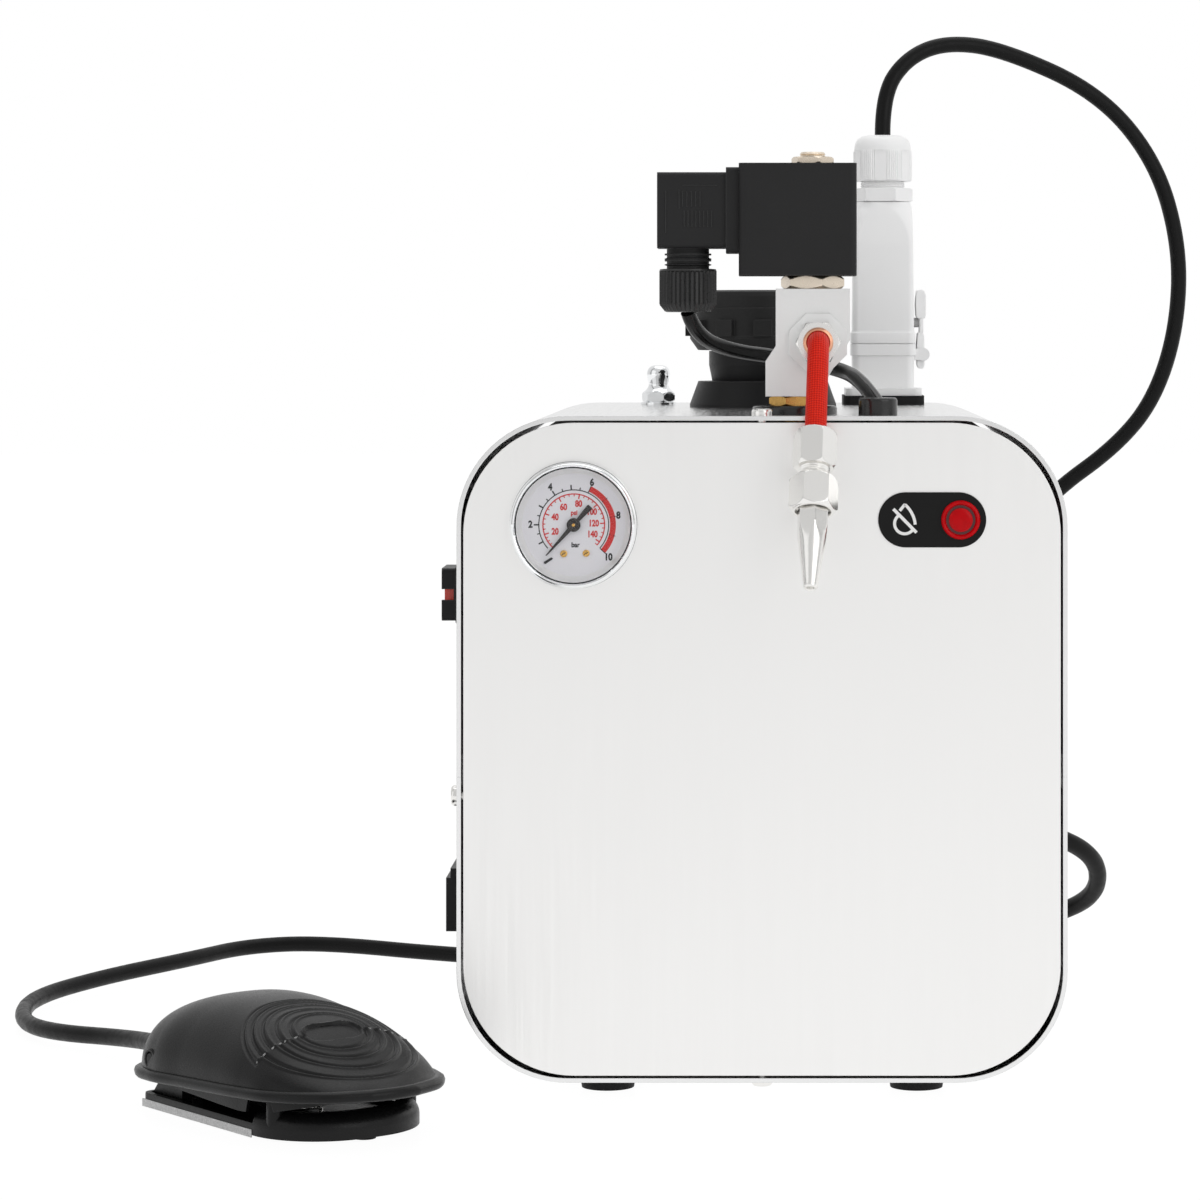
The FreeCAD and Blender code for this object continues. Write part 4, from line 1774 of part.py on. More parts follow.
def rounded_footprint(inset, low, high):
    """The same outline with its top edge rounded over."""
    shape = footprint(inset, low, high)
    rim = [e for e in shape.Edges if e.BoundBox.ZMin > high - 0.01]
    return shape.makeFillet(PEDAL_SHOULDER - inset, rim)


def pivot_bar(radius, length):
    """A bar along the pedal's hinge."""
    z = PEDAL_PIVOT_HEIGHT
    return rod(radius, vec(PEDAL_PIVOT_ALONG, -length / 2, z), vec(PEDAL_PIVOT_ALONG, length / 2, z))


def pedal_floor_z():
    return PEDAL_FLOOR + PEDAL_BASE_WALL


def pedal_cheek(side):
    """One of the two uprights that carry the ends of the hinge pin."""
    back = PEDAL_CHEEK_FROM
    ahead = back + PEDAL_CHEEK_LENGTH
    top = PEDAL_PIVOT_HEIGHT + PEDAL_PIN_RADIUS + PEDAL_CHEEK_OVER_PIN
    outline = [
        (PEDAL_REAR_CORNER / 2, PEDAL_FLOOR), (ahead, PEDAL_FLOOR), (ahead, top), (back, top),
        (back, PEDAL_FLOOR + PEDAL_SIDE_HEIGHT + PEDAL_REAR_CORNER),
        (PEDAL_REAR_CORNER / 2, PEDAL_FLOOR + PEDAL_SIDE_HEIGHT),
    ]
    cheek = extruded_profile(outline, PEDAL_CHEEK_THICKNESS)
    middle = side * (PEDAL_CHEEK_SIDE + PEDAL_CHEEK_THICKNESS / 2)
    return placed(cheek, vec(0, middle, 0), X, Y)


def pedal_base():
    """A shallow pan with a round-shouldered toe, low sides, and uprights for the hinge and the cord."""
    wall = PEDAL_BASE_WALL
    inside = rounded_footprint(wall, pedal_floor_z(), PEDAL_BASE_TOP - wall)
    mouth = footprint(PEDAL_SHOULDER + wall, pedal_floor_z(), PEDAL_BASE_TOP + 1)
    half = PEDAL_BASE_WIDTH / 2
    toe = PEDAL_BASE_LENGTH - PEDAL_TOE_LENGTH
    side_top = PEDAL_FLOOR + PEDAL_SIDE_HEIGHT
    above_sides = block((-1, toe), (-half - 1, half + 1), (side_top, PEDAL_BASE_TOP + 1))
    pan_shape = rounded_footprint(0, PEDAL_FLOOR, PEDAL_BASE_TOP).cut(inside).cut(mouth).cut(above_sides)
    half = PEDAL_TURRET_WIDTH / 2
    parts = [
        pan_shape,
        block((0, PEDAL_TURRET_LENGTH), (-half, half), (PEDAL_FLOOR, PEDAL_FLOOR + PEDAL_TURRET_HEIGHT)),
        rod(
            PEDAL_BOSS_RADIUS, vec(-PEDAL_BOSS_REACH, 0, PEDAL_CORD_HEIGHT),
            vec(PEDAL_TURRET_LENGTH / 2, 0, PEDAL_CORD_HEIGHT),
        ),
    ]
    for side in (-1, 1):
        parts.append(pedal_cheek(side))
        foot = vec(PEDAL_PEG_ALONG, side * PEDAL_PEG_SIDE, pedal_floor_z() - wall / 2)
        parts.append(rod(PEDAL_PEG_RADIUS, foot, vec(foot.x, foot.y, PEDAL_PEG_TOP)))
    return on_pedal(join(parts).cut(pivot_bar(PEDAL_PIN_RADIUS, PEDAL_BASE_WIDTH)))


def arch(along, half_width, height, floor):
    """One cross-section of the cover: a flat foot under a full, rounded crown."""
    power = 2 / COVER_FULLNESS
    points = []
    for i in range(COVER_ARCH_POINTS + 1):
        turn = math.pi * i / COVER_ARCH_POINTS
        across = abs(math.cos(turn)) ** power * half_width
        up = abs(math.sin(turn)) ** power * height
        points.append(vec(along, math.copysign(across, math.cos(turn)), floor + up))
    points[0].z = floor
    points[-1].z = floor
    crown = Part.BSplineCurve()
    crown.interpolate(points)
    return Part.Wire([crown.toShape(), Part.makeLine(points[-1], points[0])])


def cover_floor():
    """Height of the rim's underside when the pedal is pressed fully down."""
    return PEDAL_BASE_TOP + COVER_RIM_CLEARANCE


def cover_dome(inset):
    """The humped body of the cover, drawn in by an inset, as pressed down level."""
    wires = []
    for share, width, height in COVER_STATIONS:
        along = COVER_REAR + inset + share * (COVER_LENGTH - 2 * inset)
        half = COVER_HALF_WIDTH * width - inset
        tall = COVER_HEIGHT * height - inset
        wires.append(arch(along, half, tall, cover_floor()))
    return Part.makeLoft(wires, True, False)


def cover_outline(extra, low, high):
    """A slab with the cover's plan as a smooth closed curve, let out by an amount."""
    there = []
    back = []
    for share, width, _ in COVER_STATIONS:
        along = COVER_REAR - extra + share * (COVER_LENGTH + 2 * extra)
        half = COVER_HALF_WIDTH * width + extra
        there.append(vec(along, -half, low))
        back.append(vec(along, half, low))
    curve = Part.BSplineCurve()
    curve.interpolate(there + back[::-1], PeriodicFlag=True)
    return Part.Face(Part.Wire([curve.toShape()])).extrude(vec(0, 0, high - low))


def cover_skirt():
    """The skirt under the rim: none at the rear, deepest from the middle on, open at the two pegs."""
    floor = cover_floor()
    low = floor - COVER_SKIRT_DROP
    outside = cover_outline(-COVER_SKIRT_SET_BACK, low, floor + COVER_SKIRT_SET_BACK)
    skirt = outside.cut(cover_outline(-COVER_WALL, low - 1, floor + 1))
    side = COVER_HALF_WIDTH
    slope = [
        vec(COVER_REAR - 1, -side, low - 1), vec(COVER_SKIRT_FULL, -side, low - 1),
        vec(COVER_SKIRT_FULL, -side, low), vec(COVER_SKIRT_START, -side, floor),
        vec(COVER_SKIRT_START, -side, floor + 1), vec(COVER_REAR - 1, -side, floor + 1),
    ]
    skirt = skirt.cut(Part.Face(Part.makePolygon(slope + slope[:1])).extrude(vec(0, 2 * side, 0)))
    room = PEDAL_PEG_RADIUS + PEDAL_PEG_ROOM
    gap = block((PEDAL_PEG_ALONG - room, PEDAL_PEG_ALONG + room), (-side, side), (low - 1, floor))
    return skirt.cut(gap)


def cover_lugs(dome):
    """What hangs inside the cover: two hinge lugs, the spring's seat and the switch's nose."""
    inside = PEDAL_TURRET_WIDTH / 2 + COVER_LUG_GAP
    high = cover_floor() + COVER_HEIGHT
    parts = []
    for side in (-1, 1):
        y = sorted((side * inside, side * (inside + COVER_LUG_THICKNESS)))
        x = (PEDAL_PIVOT_ALONG - COVER_LUG_RADIUS, PEDAL_PIVOT_ALONG + COVER_LUG_RADIUS)
        parts.append(block(x, y, (PEDAL_PIVOT_HEIGHT - COVER_LUG_RADIUS * 0.8, high)))
    seat = vec(PEDAL_SPRING_ALONG, 0, cover_floor() + PEDAL_SPRING_SEAT)
    parts.append(rod(PEDAL_SPRING_RADIUS + 1, seat, vec(seat.x, 0, high)))
    nose = vec(PEDAL_SWITCH_ALONG, 0, pedal_floor_z() + PEDAL_SWITCH_HEIGHT + PEDAL_NOSE_GAP)
    parts.append(rod(PEDAL_NOSE_RADIUS, nose, vec(nose.x, 0, high)))
    return [part.common(dome) for part in parts]


def pedal_cover():
    """The rocking cover, resting with its toe up."""
    floor = cover_floor()
    dome = cover_dome(0)
    band = cover_outline(COVER_RIM_OUT, floor, floor + COVER_RIM_HEIGHT)
    shell = dome.fuse(band).cut(cover_dome(COVER_WALL))
    cover = join([shell, cover_skirt()] + cover_lugs(dome))
    room = PEDAL_BOSS_RADIUS + COVER_NOTCH_ROOM
    notch = block((COVER_REAR - room, 1), (-room, room), (0, PEDAL_CORD_HEIGHT + room))
    cover = cover.cut(notch).cut(pivot_bar(PEDAL_PIN_RADIUS + PEDAL_PIN_CLEARANCE, COVER_HALF_WIDTH * 3))
    cover.rotate(vec(PEDAL_PIVOT_ALONG, 0, PEDAL_PIVOT_HEIGHT), Y, -PEDAL_THROW)
    return on_pedal(cover)


def pedal_pin():
    return on_pedal(pivot_bar(PEDAL_PIN_RADIUS, PEDAL_PIN_LENGTH))


def pedal_spring():
    """The return spring, as the tube that its wire winds round."""
    low = vec(PEDAL_SPRING_ALONG, 0, pedal_floor_z())
    reach = PEDAL_SPRING_ALONG - PEDAL_PIVOT_ALONG - PEDAL_SPRING_RADIUS
    lift = reach * math.sin(math.radians(PEDAL_THROW))
    high = vec(PEDAL_SPRING_ALONG, 0, cover_floor() + PEDAL_SPRING_SEAT + lift)
    return on_pedal(ring(PEDAL_SPRING_RADIUS, PEDAL_SPRING_RADIUS - PEDAL_SPRING_WIRE, low, high))


def pedal_switch():
    half_l = PEDAL_SWITCH_LENGTH / 2
    half_w = PEDAL_SWITCH_WIDTH / 2
    body = block(
        (PEDAL_SWITCH_ALONG - half_l, PEDAL_SWITCH_ALONG + half_l), (-half_w, half_w),
        (pedal_floor_z(), pedal_floor_z() + PEDAL_SWITCH_HEIGHT - PEDAL_SWITCH_TIP),
    )
    tip = rod(
        PEDAL_SWITCH_TIP, vec(PEDAL_SWITCH_ALONG, 0, pedal_floor_z()),
        vec(PEDAL_SWITCH_ALONG, 0, pedal_floor_z() + PEDAL_SWITCH_HEIGHT),
    )
    return on_pedal(join([body, tip]))


def pedal_cord():
    arch_points = moved(PEDAL_CORD_ARCH, CONNECTOR_X, CONNECTOR_Y, CORD_NUT_TOP)
    return cord("pedal_cord", arch_points + PEDAL_CORD_FLOOR, PEDAL_CORD_RADIUS)


def valve_cable():
    return cord("valve_cable", moved(VALVE_CABLE_ROUTE, 0, FRONT_Y, TOP_Z), VALVE_CABLE_RADIUS)


def boiler_controls():
    """The pressure switch and the safety thermostat, both on the boiler's top."""
    return [pressure_switch(), safety_thermostat()]


# ---------------------------------------------------------------- every sub-part in its own file
NODES = [
    front_panel, back_panel, upper_shell, lower_shell, chassis_tray, shell_screws, rubber_feet,
    boiler_tank, heating_element, inner_pipes, filler_neck, boiler_controls,
    neck_skirt, filler_cap, cap_gasket, relief_valve_body, relief_poppet,
    valve_base_seal, brass_nipple, valve_body, armature_tube, coil, coil_nut,
    valve_plunger, plunger_spring, coil_plug, coil_plug_gland_nut, valve_cable, cable_bush,
    port_nut, steam_tube, tube_sleeve, compression_nut, nozzle_union, nozzle,
    connector_gasket, connector_base, connector_hood, locking_lever, connector_gland_nut,
    gauge_case, gauge_dial, gauge_needle, gauge_glass, indicator_plate, indicator_lamp,
    switch_frame, switch_rocker, breaker_body, breaker_button,
    mains_strain_relief, mains_cord, mains_coil, mains_plug,
    pedal_base, pedal_cover, pedal_pin, pedal_spring, pedal_switch, pedal_cord,
]

os.makedirs("parts", exist_ok=True)
for make in NODES:
    made = make()
    if isinstance(made, list):
        made = Part.makeCompound(made)
    made.exportStep("parts/%s.step" % make.__name__)
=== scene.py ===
import math

import bmesh
import bpy
import numpy as np
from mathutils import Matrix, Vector


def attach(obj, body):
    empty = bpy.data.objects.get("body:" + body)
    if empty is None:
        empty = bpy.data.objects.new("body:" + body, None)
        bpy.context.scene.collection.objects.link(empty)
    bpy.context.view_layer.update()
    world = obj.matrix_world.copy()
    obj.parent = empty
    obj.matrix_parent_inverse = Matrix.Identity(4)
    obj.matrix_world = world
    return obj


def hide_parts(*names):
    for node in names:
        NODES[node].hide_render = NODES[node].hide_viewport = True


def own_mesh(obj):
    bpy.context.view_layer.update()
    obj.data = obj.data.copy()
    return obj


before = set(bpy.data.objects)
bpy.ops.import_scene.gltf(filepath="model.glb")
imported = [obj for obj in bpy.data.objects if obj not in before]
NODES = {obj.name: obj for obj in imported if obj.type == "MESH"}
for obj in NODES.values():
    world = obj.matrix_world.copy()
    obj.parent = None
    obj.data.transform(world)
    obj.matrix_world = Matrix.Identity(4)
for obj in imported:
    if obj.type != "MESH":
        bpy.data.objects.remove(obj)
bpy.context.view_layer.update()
MM = 0.001


# ---- making meshes
def mesh_piece(name, shape, finish, body="housing", angle=35.0, uv=None):
    """A mesh object from a pair of points in millimetres and faces.

    Doubles are merged, normals turned outwards, and edges sharper than the angle stay sharp.
    uv, where given, is one (u, v) for each point."""
    points, faces = shape
    mesh = bpy.data.meshes.new(name)
    mesh.from_pydata((np.asarray(points, float) * MM).tolist(), [], [list(f) for f in faces])
    if uv is not None:
        corner = np.empty(len(mesh.loops), int)
        mesh.loops.foreach_get("vertex_index", corner)
        layer = mesh.uv_layers.new(name="weave")
        layer.data.foreach_set("uv", np.asarray(uv, float)[corner].ravel())
    shell = bmesh.new()
    shell.from_mesh(mesh)
    bmesh.ops.remove_doubles(shell, verts=shell.verts, dist=1e-7)
    bmesh.ops.dissolve_degenerate(shell, edges=shell.edges, dist=1e-7)
    bmesh.ops.recalc_face_normals(shell, faces=shell.faces)
    shell.to_mesh(mesh)
    shell.free()
    mesh.polygons.foreach_set("use_smooth", [True] * len(mesh.polygons))
    mesh.set_sharp_from_angle(angle=math.radians(angle))
    piece = bpy.data.objects.new(name, mesh)
    bpy.context.scene.collection.objects.link(piece)
    mesh.materials.append(finish)
    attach(piece, body)
    return piece


def grid_faces(rows, columns, loop_rows=False, loop_columns=True):
    """Quads between neighbours of a rows x columns grid: (i, j), (i, j+1), (i+1, j+1), (i+1, j)."""
    i = np.arange(rows if loop_rows else rows - 1)[:, None]
    j = np.arange(columns if loop_columns else columns - 1)[None, :]
    down = (i + 1) % rows
    across = (j + 1) % columns
    quads = [i * columns + j, i * columns + across, down * columns + across, down * columns + j]
    quads = [np.broadcast_to(q, (i.shape[0], j.shape[1])).ravel() for q in quads]
    return np.stack(quads, 1).tolist()


def unit(way):
    """Each vector divided by its length."""
    way = np.asarray(way, float)
    return way / np.linalg.norm(way, axis=-1, keepdims=True)


def capped(rings):
    """A run of rings, one row of points each: quads between neighbours and a face over each end."""
    rings = np.asarray(rings, float)
    rows, columns = rings.shape[:2]
    last = (rows - 1) * columns
    ends = [list(range(columns))[::-1], list(range(last, last + columns))]
    return rings.reshape(-1, 3), grid_faces(rows, columns) + ends


def swept(path, radius, beside, over, around):
    """P(s, t) = path + r (cos t beside + sin t over): a ring of the radius carried along the path."""
    around = around[None, :, None]
    ring = np.cos(around) * beside[:, None] + np.sin(around) * over[:, None]
    return path[:, None] + np.reshape(radius, (-1, 1, 1)) * ring


def laid(shape, origin=(0, 0, 0), x_way=(1, 0, 0), y_way=(0, 1, 0)):
    """The shape with its x, y and z turned along x_way, y_way and x_way x y_way, from the origin."""
    x_way, y_way = unit(x_way), unit(y_way)
    basis = np.stack([x_way, y_way, np.cross(x_way, y_way)])
    return np.asarray(shape[0], float).reshape(-1, 3) @ basis + np.asarray(origin, float), shape[1]


def together(*shapes):
    """Several shapes as one, with the faces renumbered."""
    points = []
    faces = []
    count = 0
    for p, f in shapes:
        points.append(np.asarray(p, float).reshape(-1, 3))
        faces += [[k + count for k in face] for face in f]
        count += len(points[-1])
    return np.concatenate(points), faces


def finer(profile, steps):
    """The profile with each of its runs divided into equal steps."""
    profile = np.asarray(profile, float)
    at = np.linspace(0, len(profile) - 1, (len(profile) - 1) * steps + 1)
    return np.c_[np.interp(at, np.arange(len(profile)), profile[:, 0]),
                 np.interp(at, np.arange(len(profile)), profile[:, 1])]


def lathe(profile, segments=96, bend=None, loop=False, start=0.0):
    """P(i, t) = (r_i cos t, r_i sin t, z_i), with r_i changed by bend(t, r_i, z_i) where one is given."""
    profile = np.asarray(profile, float)
    turn = np.linspace(0, 2 * math.pi, segments, endpoint=False)[None, :] + math.radians(start)
    radius = np.repeat(profile[:, :1], segments, 1)
    height = np.repeat(profile[:, 1:2], segments, 1)
    if bend:
        radius = bend(np.broadcast_to(turn, radius.shape), radius, height)
    points = np.stack([radius * np.cos(turn), radius * np.sin(turn), height], 2).reshape(-1, 3)
    return points, grid_faces(len(profile), segments, loop)


def flats(across, turn):
    """Bends a lathe's radius to six flats: the smaller of r and half the width over cos(angle off the flat)."""
    step = math.pi / 3
    start = math.radians(turn)

    def bend(t, r, z):
        off = np.mod(t - start + step / 2, step) - step / 2
        return np.minimum(r, across / 2 / np.cos(off))
    return bend


def six_sided(profile, across, turn, loop=False):
    """A turned profile cut to six flats of the width across, turned by the angle in degrees."""
    return lathe(profile, bend=flats(across, turn), loop=loop, start=turn)


def hexagon_nut(corners, low, high, turn, bore=0.0, ease=0.12):
    """Six flats under a lathe whose two ends slope in by a share of the corners' radius."""
    r = corners / 2
    drop = ease * r
    slope = drop * 0.7
    profile = [(bore, low), (r - drop, low), (r, low + slope), (r, high - slope), (r - drop, high), (bore, high)]
    return six_sided(finer(profile, 6), corners * math.cos(math.pi / 6), turn, bore > 0)


def bevelled(piece, width):
    """A rounded edge of the width in millimetres wherever two faces meet at more than 30 degrees."""
    bevel = piece.modifiers.new("rounded edges", "BEVEL")
    bevel.width = width * MM
    bevel.segments = 3
    bevel.limit_method = "ANGLE"
    bevel.angle_limit = math.radians(30.0)


def prism(outline, low, high):
    """The outline's points at two heights, walls between them and a face over each end."""
    outline = np.asarray(outline, float)
    return capped([np.c_[outline, np.full(len(outline), h)] for h in (low, high)])


def ribbon(line, width, low, high):
    """A flat strip along a line: each point is moved half the width to both sides along its normal."""
    line = np.asarray(line, float)
    way = unit(np.gradient(line, axis=0))
    side = np.c_[-way[:, 1], way[:, 0]] * width / 2
    left, right = line + side, line - side
    corners = ((left, low), (right, low), (right, high), (left, high))
    return capped(np.stack([np.c_[p, np.full(len(line), h)] for p, h in corners], 1))


def arc(radius, start, end, steps=48, y=0.0):
    """Points of a circle: (r cos t, y + r sin t), from start to end in degrees."""
    t = np.radians(np.linspace(start, end, steps))
    return np.c_[radius * np.cos(t), y + radius * np.sin(t)]


def spokes(angles, inner, outer, width, low, high):
    """One short bar from the inner to the outer radius at each angle in degrees."""
    shapes = []
    for t in np.radians(angles):
        way = np.array([math.cos(t), math.sin(t)])
        shapes.append(ribbon([way * inner, way * (inner + outer) / 2, way * outer], width, low, high))
    return together(*shapes)


def box_rings(half_x, half_y, corner, heights, steps=10):
    """Rings of a box with round corners, a quarter turn about each corner's centre, at each height."""
    values = np.broadcast_arrays(half_x, half_y, corner, heights)
    half_x, half_y, corner, heights = (np.asarray(v, float) for v in values)
    quarter = np.linspace(0, math.pi / 2, steps)
    rings = []
    for k, (sx, sy) in enumerate(((1, 1), (-1, 1), (-1, -1), (1, -1))):
        t = (quarter + k * math.pi / 2)[None, :]
        x = (sx * (half_x - corner))[:, None] + corner[:, None] * np.cos(t)
        y = (sy * (half_y - corner))[:, None] + corner[:, None] * np.sin(t)
        rings.append(np.stack([x, y, np.broadcast_to(heights[:, None], x.shape)], 2))
    return capped(np.concatenate(rings, 1))


def rounded_box(width, depth, corner, low, high, ease):
    """A box with round upright corners, its end edges eased by a quarter circle of the radius ease."""
    t = np.linspace(0, math.pi / 2, 5)
    inset = ease * (1 - np.sin(t))
    rise = ease * (1 - np.cos(t))
    shrink = np.concatenate([inset, inset[::-1]])
    heights = np.concatenate([low + rise, (high - rise)[::-1]])
    return box_rings(width / 2 - shrink, depth / 2 - shrink, np.maximum(corner - shrink, 0.05), heights)


def smooth(x, xs, ys):
    """A curve through the points (xs, ys): cubic Hermite pieces with slopes weighted from both sides."""
    step = np.diff(xs)
    rise = np.diff(ys) / step
    inner = (rise[:-1] * step[1:] + rise[1:] * step[:-1]) / (step[1:] + step[:-1])
    slope = np.concatenate([rise[:1], inner, rise[-1:]])
    k = np.clip(np.searchsorted(xs, x) - 1, 0, len(step) - 1)
    t = (x - xs[k]) / step[k]
    return ((1 + 2 * t) * (1 - t) ** 2 * ys[k] + t * (1 - t) ** 2 * step[k] * slope[k]
            + t * t * (3 - 2 * t) * ys[k + 1] + t * t * (t - 1) * step[k] * slope[k + 1])


def figures(entries, size, low, high, narrow=0.86, bold=0.0):
    """Plain figures as thin solids: each text curve is made a mesh and moved to its place."""
    shapes = []
    for words, x, y in entries:
        line = bpy.data.curves.new("figures", "FONT")
        line.body = words
        line.size = size
        line.extrude = (high - low) / 2
        line.offset = bold
        line.align_x = "CENTER"
        line.align_y = "CENTER"
        line.resolution_u = 4
        holder = bpy.data.objects.new("figures", line)
        mesh = bpy.data.meshes.new_from_object(holder)
        points = np.empty(len(mesh.vertices) * 3)
        mesh.vertices.foreach_get("co", points)
        points = points.reshape(-1, 3) * (narrow, 1, 1) + (x, y, (low + high) / 2)
        shapes.append((points, [list(p.vertices) for p in mesh.polygons]))
        bpy.data.objects.remove(holder)
        bpy.data.curves.remove(line)
        bpy.data.meshes.remove(mesh)
    return together(*shapes)


# ---- finishes
# Radius in millimetres of the rounding that finds the corners given a painted highlight.
GLINT_EDGE = 0.9
BRAID_STRANDS = 13


def feed(tree, made, *given, **named):
    """Sets a node's properties and inputs, the inputs by place or by name, and returns the node.

    An input that is given another node's socket is linked to it."""
    for key, value in [*named.items(), *enumerate(given)]:
        if isinstance(key, str) and hasattr(made, key):
            setattr(made, key, value)
            continue
        socket = made.inputs[key.replace("_", " ") if isinstance(key, str) else key]
        if isinstance(value, bpy.types.NodeSocket):
            tree.links.new(value, socket)
        else:
            socket.default_value = value
    return made


def node(tree, kind, *given, **named):
    """A new shader node of the kind, with its properties and inputs set."""
    return feed(tree, tree.nodes.new("ShaderNode" + kind), *given, **named)


def maths(tree, operation, *values):
    """The result of one step of arithmetic on values or sockets."""
    return node(tree, "Math", *values, operation=operation).outputs[0]


def spread(tree, value, **ends):
    """The value carried from the range From_Min..From_Max to To_Min..To_Max."""
    return node(tree, "MapRange", Value=value, **ends).outputs["Result"]


def mixed(tree, share, low, high):
    """The colour at the share of the way from low to high."""
    return node(tree, "Mix", data_type="RGBA", Factor=share, A=low, B=high).outputs["Result"]


def shade(colour, times, more=0.0):
    """The colour, one number for a grey, made darker or lighter and given its alpha."""
    return [min(1, float(c) * times + more) for c in np.broadcast_to(colour, 3)] + [1]


def finish(name, colour, rough, metal=0.0, grain=1500.0, depth=0.02, stretch=(1, 1, 1), tint=0.06, cloud=25.0,
           rough_spread=0.08, edge=0.0, bump=0.35, edge_glint=0.0, shine=0.5, **sockets):
    """A surface with fine grain as bump, and slow clouds in its colour and its roughness.

    grain and cloud are noise scales in Object coordinates, depth is the bump's height in
    millimetres, stretch pulls the grain into lines, edge rounds hard corners in shading, edge_glint is
    how far the colour lightens along corners as a painted highlight, and shine is the specular level."""
    material = bpy.data.materials.new(name)
    material.use_nodes = True
    tree = material.node_tree
    place = node(tree, "TexCoord").outputs["Object"]
    pulled = node(tree, "Mapping", place, Scale=stretch).outputs["Vector"]
    fine = node(tree, "TexNoise", Vector=pulled, Scale=grain, Detail=3.0).outputs["Fac"]
    slow = node(tree, "TexNoise", Vector=place, Scale=cloud, Detail=4.0).outputs["Fac"]
    tone = mixed(tree, slow, shade(colour, 1 - tint), shade(colour, 1 + tint))
    relief = node(tree, "Bump", Height=fine, Strength=bump, Distance=depth * MM)
    if edge:
        feed(tree, relief, Normal=node(tree, "Bevel", samples=4, Radius=edge * MM).outputs["Normal"])
    # Painted highlight: the colour lightens along corners, where the rounded shading normal turns away from the true
    # face.
    if edge_glint:
        round_off = node(tree, "Bevel", samples=4, Radius=GLINT_EDGE * MM).outputs["Normal"]
        flat = node(tree, "NewGeometry").outputs["Normal"]
        dot = node(tree, "VectorMath", round_off, flat, operation="DOT_PRODUCT").outputs["Value"]
        corner = spread(tree, dot, From_Min=0.97, From_Max=0.80, To_Max=edge_glint)
        tone = mixed(tree, corner, tone, shade(colour, 1.6, 0.12))
    gloss = spread(tree, fine, From_Min=0.3, From_Max=0.7,
                   To_Min=max(0.0, rough - rough_spread), To_Max=min(1.0, rough + rough_spread))
    feed(tree, tree.nodes["Principled BSDF"], Metallic=metal, Base_Color=tone, Roughness=gloss,
         Normal=relief.outputs["Normal"], Specular_IOR_Level=shine, **sockets)
    return material


def woven(name, dark, light):
    """Braid on the piece's own (u, v): diamonds sin a(u + v) sin a(u - v), v once round the tube."""
    material = finish(name, dark, 0.5, depth=0.05, tint=0.1, shine=0.12)
    tree = material.node_tree
    parts = node(tree, "SeparateXYZ", node(tree, "UVMap", uv_map="weave").outputs["UV"]).outputs
    waves = []
    for operation in ("ADD", "SUBTRACT"):
        slope = maths(tree, operation, parts["X"], parts["Y"])
        waves.append(maths(tree, "SINE", maths(tree, "MULTIPLY", slope, 2 * math.pi * BRAID_STRANDS)))
    height = spread(tree, maths(tree, "MULTIPLY", *waves), From_Min=-1.0, From_Max=1.0)
    relief = node(tree, "Bump", Height=height, Strength=0.8, Distance=0.35 * MM)
    # Painted shade and highlight: the colour runs from the darker red in the weave's hollows to the lighter red on its
    # crests.
    feed(tree, tree.nodes["Principled BSDF"], Base_Color=mixed(tree, height, (*dark, 1), (*light, 1)),
         Normal=relief.outputs["Normal"])
    return material


FRONT_STEEL = finish("brushed front steel", (0.93, 0.925, 0.915), 0.36, 1.0, grain=1400.0, depth=0.01,
                     stretch=(1, 1, 0.012), tint=0.012, cloud=4.0, rough_spread=0.07, edge=0.4)
WRAP_STEEL = finish("polished wrap steel", 0.82, 0.20, 1.0, depth=0.006, stretch=(1, 0.012, 1), tint=0.02,
                    rough_spread=0.05, edge=0.4)
PLAIN_STEEL = finish("plain boiler steel", 0.62, 0.4, 1.0, grain=900.0)
PLATED_STEEL = finish("nickel plated steel", (0.86, 0.85, 0.83), 0.22, 1.0, grain=900.0, depth=0.0012,
                      rough_spread=0.03, tint=0.02)
WARM_NICKEL = finish("warm nickel plate", (0.80, 0.70, 0.58), 0.3, 1.0, grain=900.0, depth=0.0012, tint=0.10,
                     cloud=90.0, rough_spread=0.04)
CHROME = finish("polished chrome", (0.88, 0.89, 0.90), 0.06, 1.0, grain=300.0, depth=0.003, tint=0.02,
                rough_spread=0.03, edge=0.3)
CAST_ALUMINIUM = finish("blasted aluminium", (0.80, 0.80, 0.795), 0.48, 0.55, grain=1300.0, depth=0.10, tint=0.03,
                        edge=0.4)
BRASS = finish("turned brass", (0.62, 0.37, 0.11), 0.30, 1.0, grain=500.0, depth=0.002)
COPPER = finish("heated copper", (0.74, 0.38, 0.24), 0.32, 1.0, grain=500.0, depth=0.002, tint=0.15, cloud=200.0)
BLACK_RUBBER = finish("black rubber", 0.010, 0.6, grain=800.0, tint=0.2, edge=0.5, shine=0.18)
GLOSSY_RUBBER = finish("glossy black rubber", 0.010, 0.22, grain=500.0, depth=0.01, tint=0.2, edge=0.5)
BLACK_PLASTIC = finish("satin black plastic", (0.008, 0.008, 0.0085), 0.4, grain=1100.0, depth=0.03, tint=0.2,
                       edge=0.4, edge_glint=0.35, shine=0.2)
RIB_PLASTIC = finish("ribbed nut plastic", 0.030, 0.32, grain=1100.0, tint=0.15, shine=0.35)
COIL_PLASTIC = finish("moulded coil plastic", (0.018, 0.018, 0.0185), 0.55, depth=0.05, tint=0.12, edge=0.4,
                      edge_glint=0.26, shine=0.18)
CAP_PLASTIC = finish("matt cap plastic", 0.014, 0.5, grain=1300.0, depth=0.12, tint=0.2, edge=0.5, edge_glint=0.16,
                     shine=0.24)
PEDAL_PLASTIC = finish("textured pedal plastic", (0.0055, 0.0055, 0.0057), 0.34, depth=0.12, tint=0.2, bump=0.6,
                       edge=0.25, edge_glint=0.10, shine=0.22)
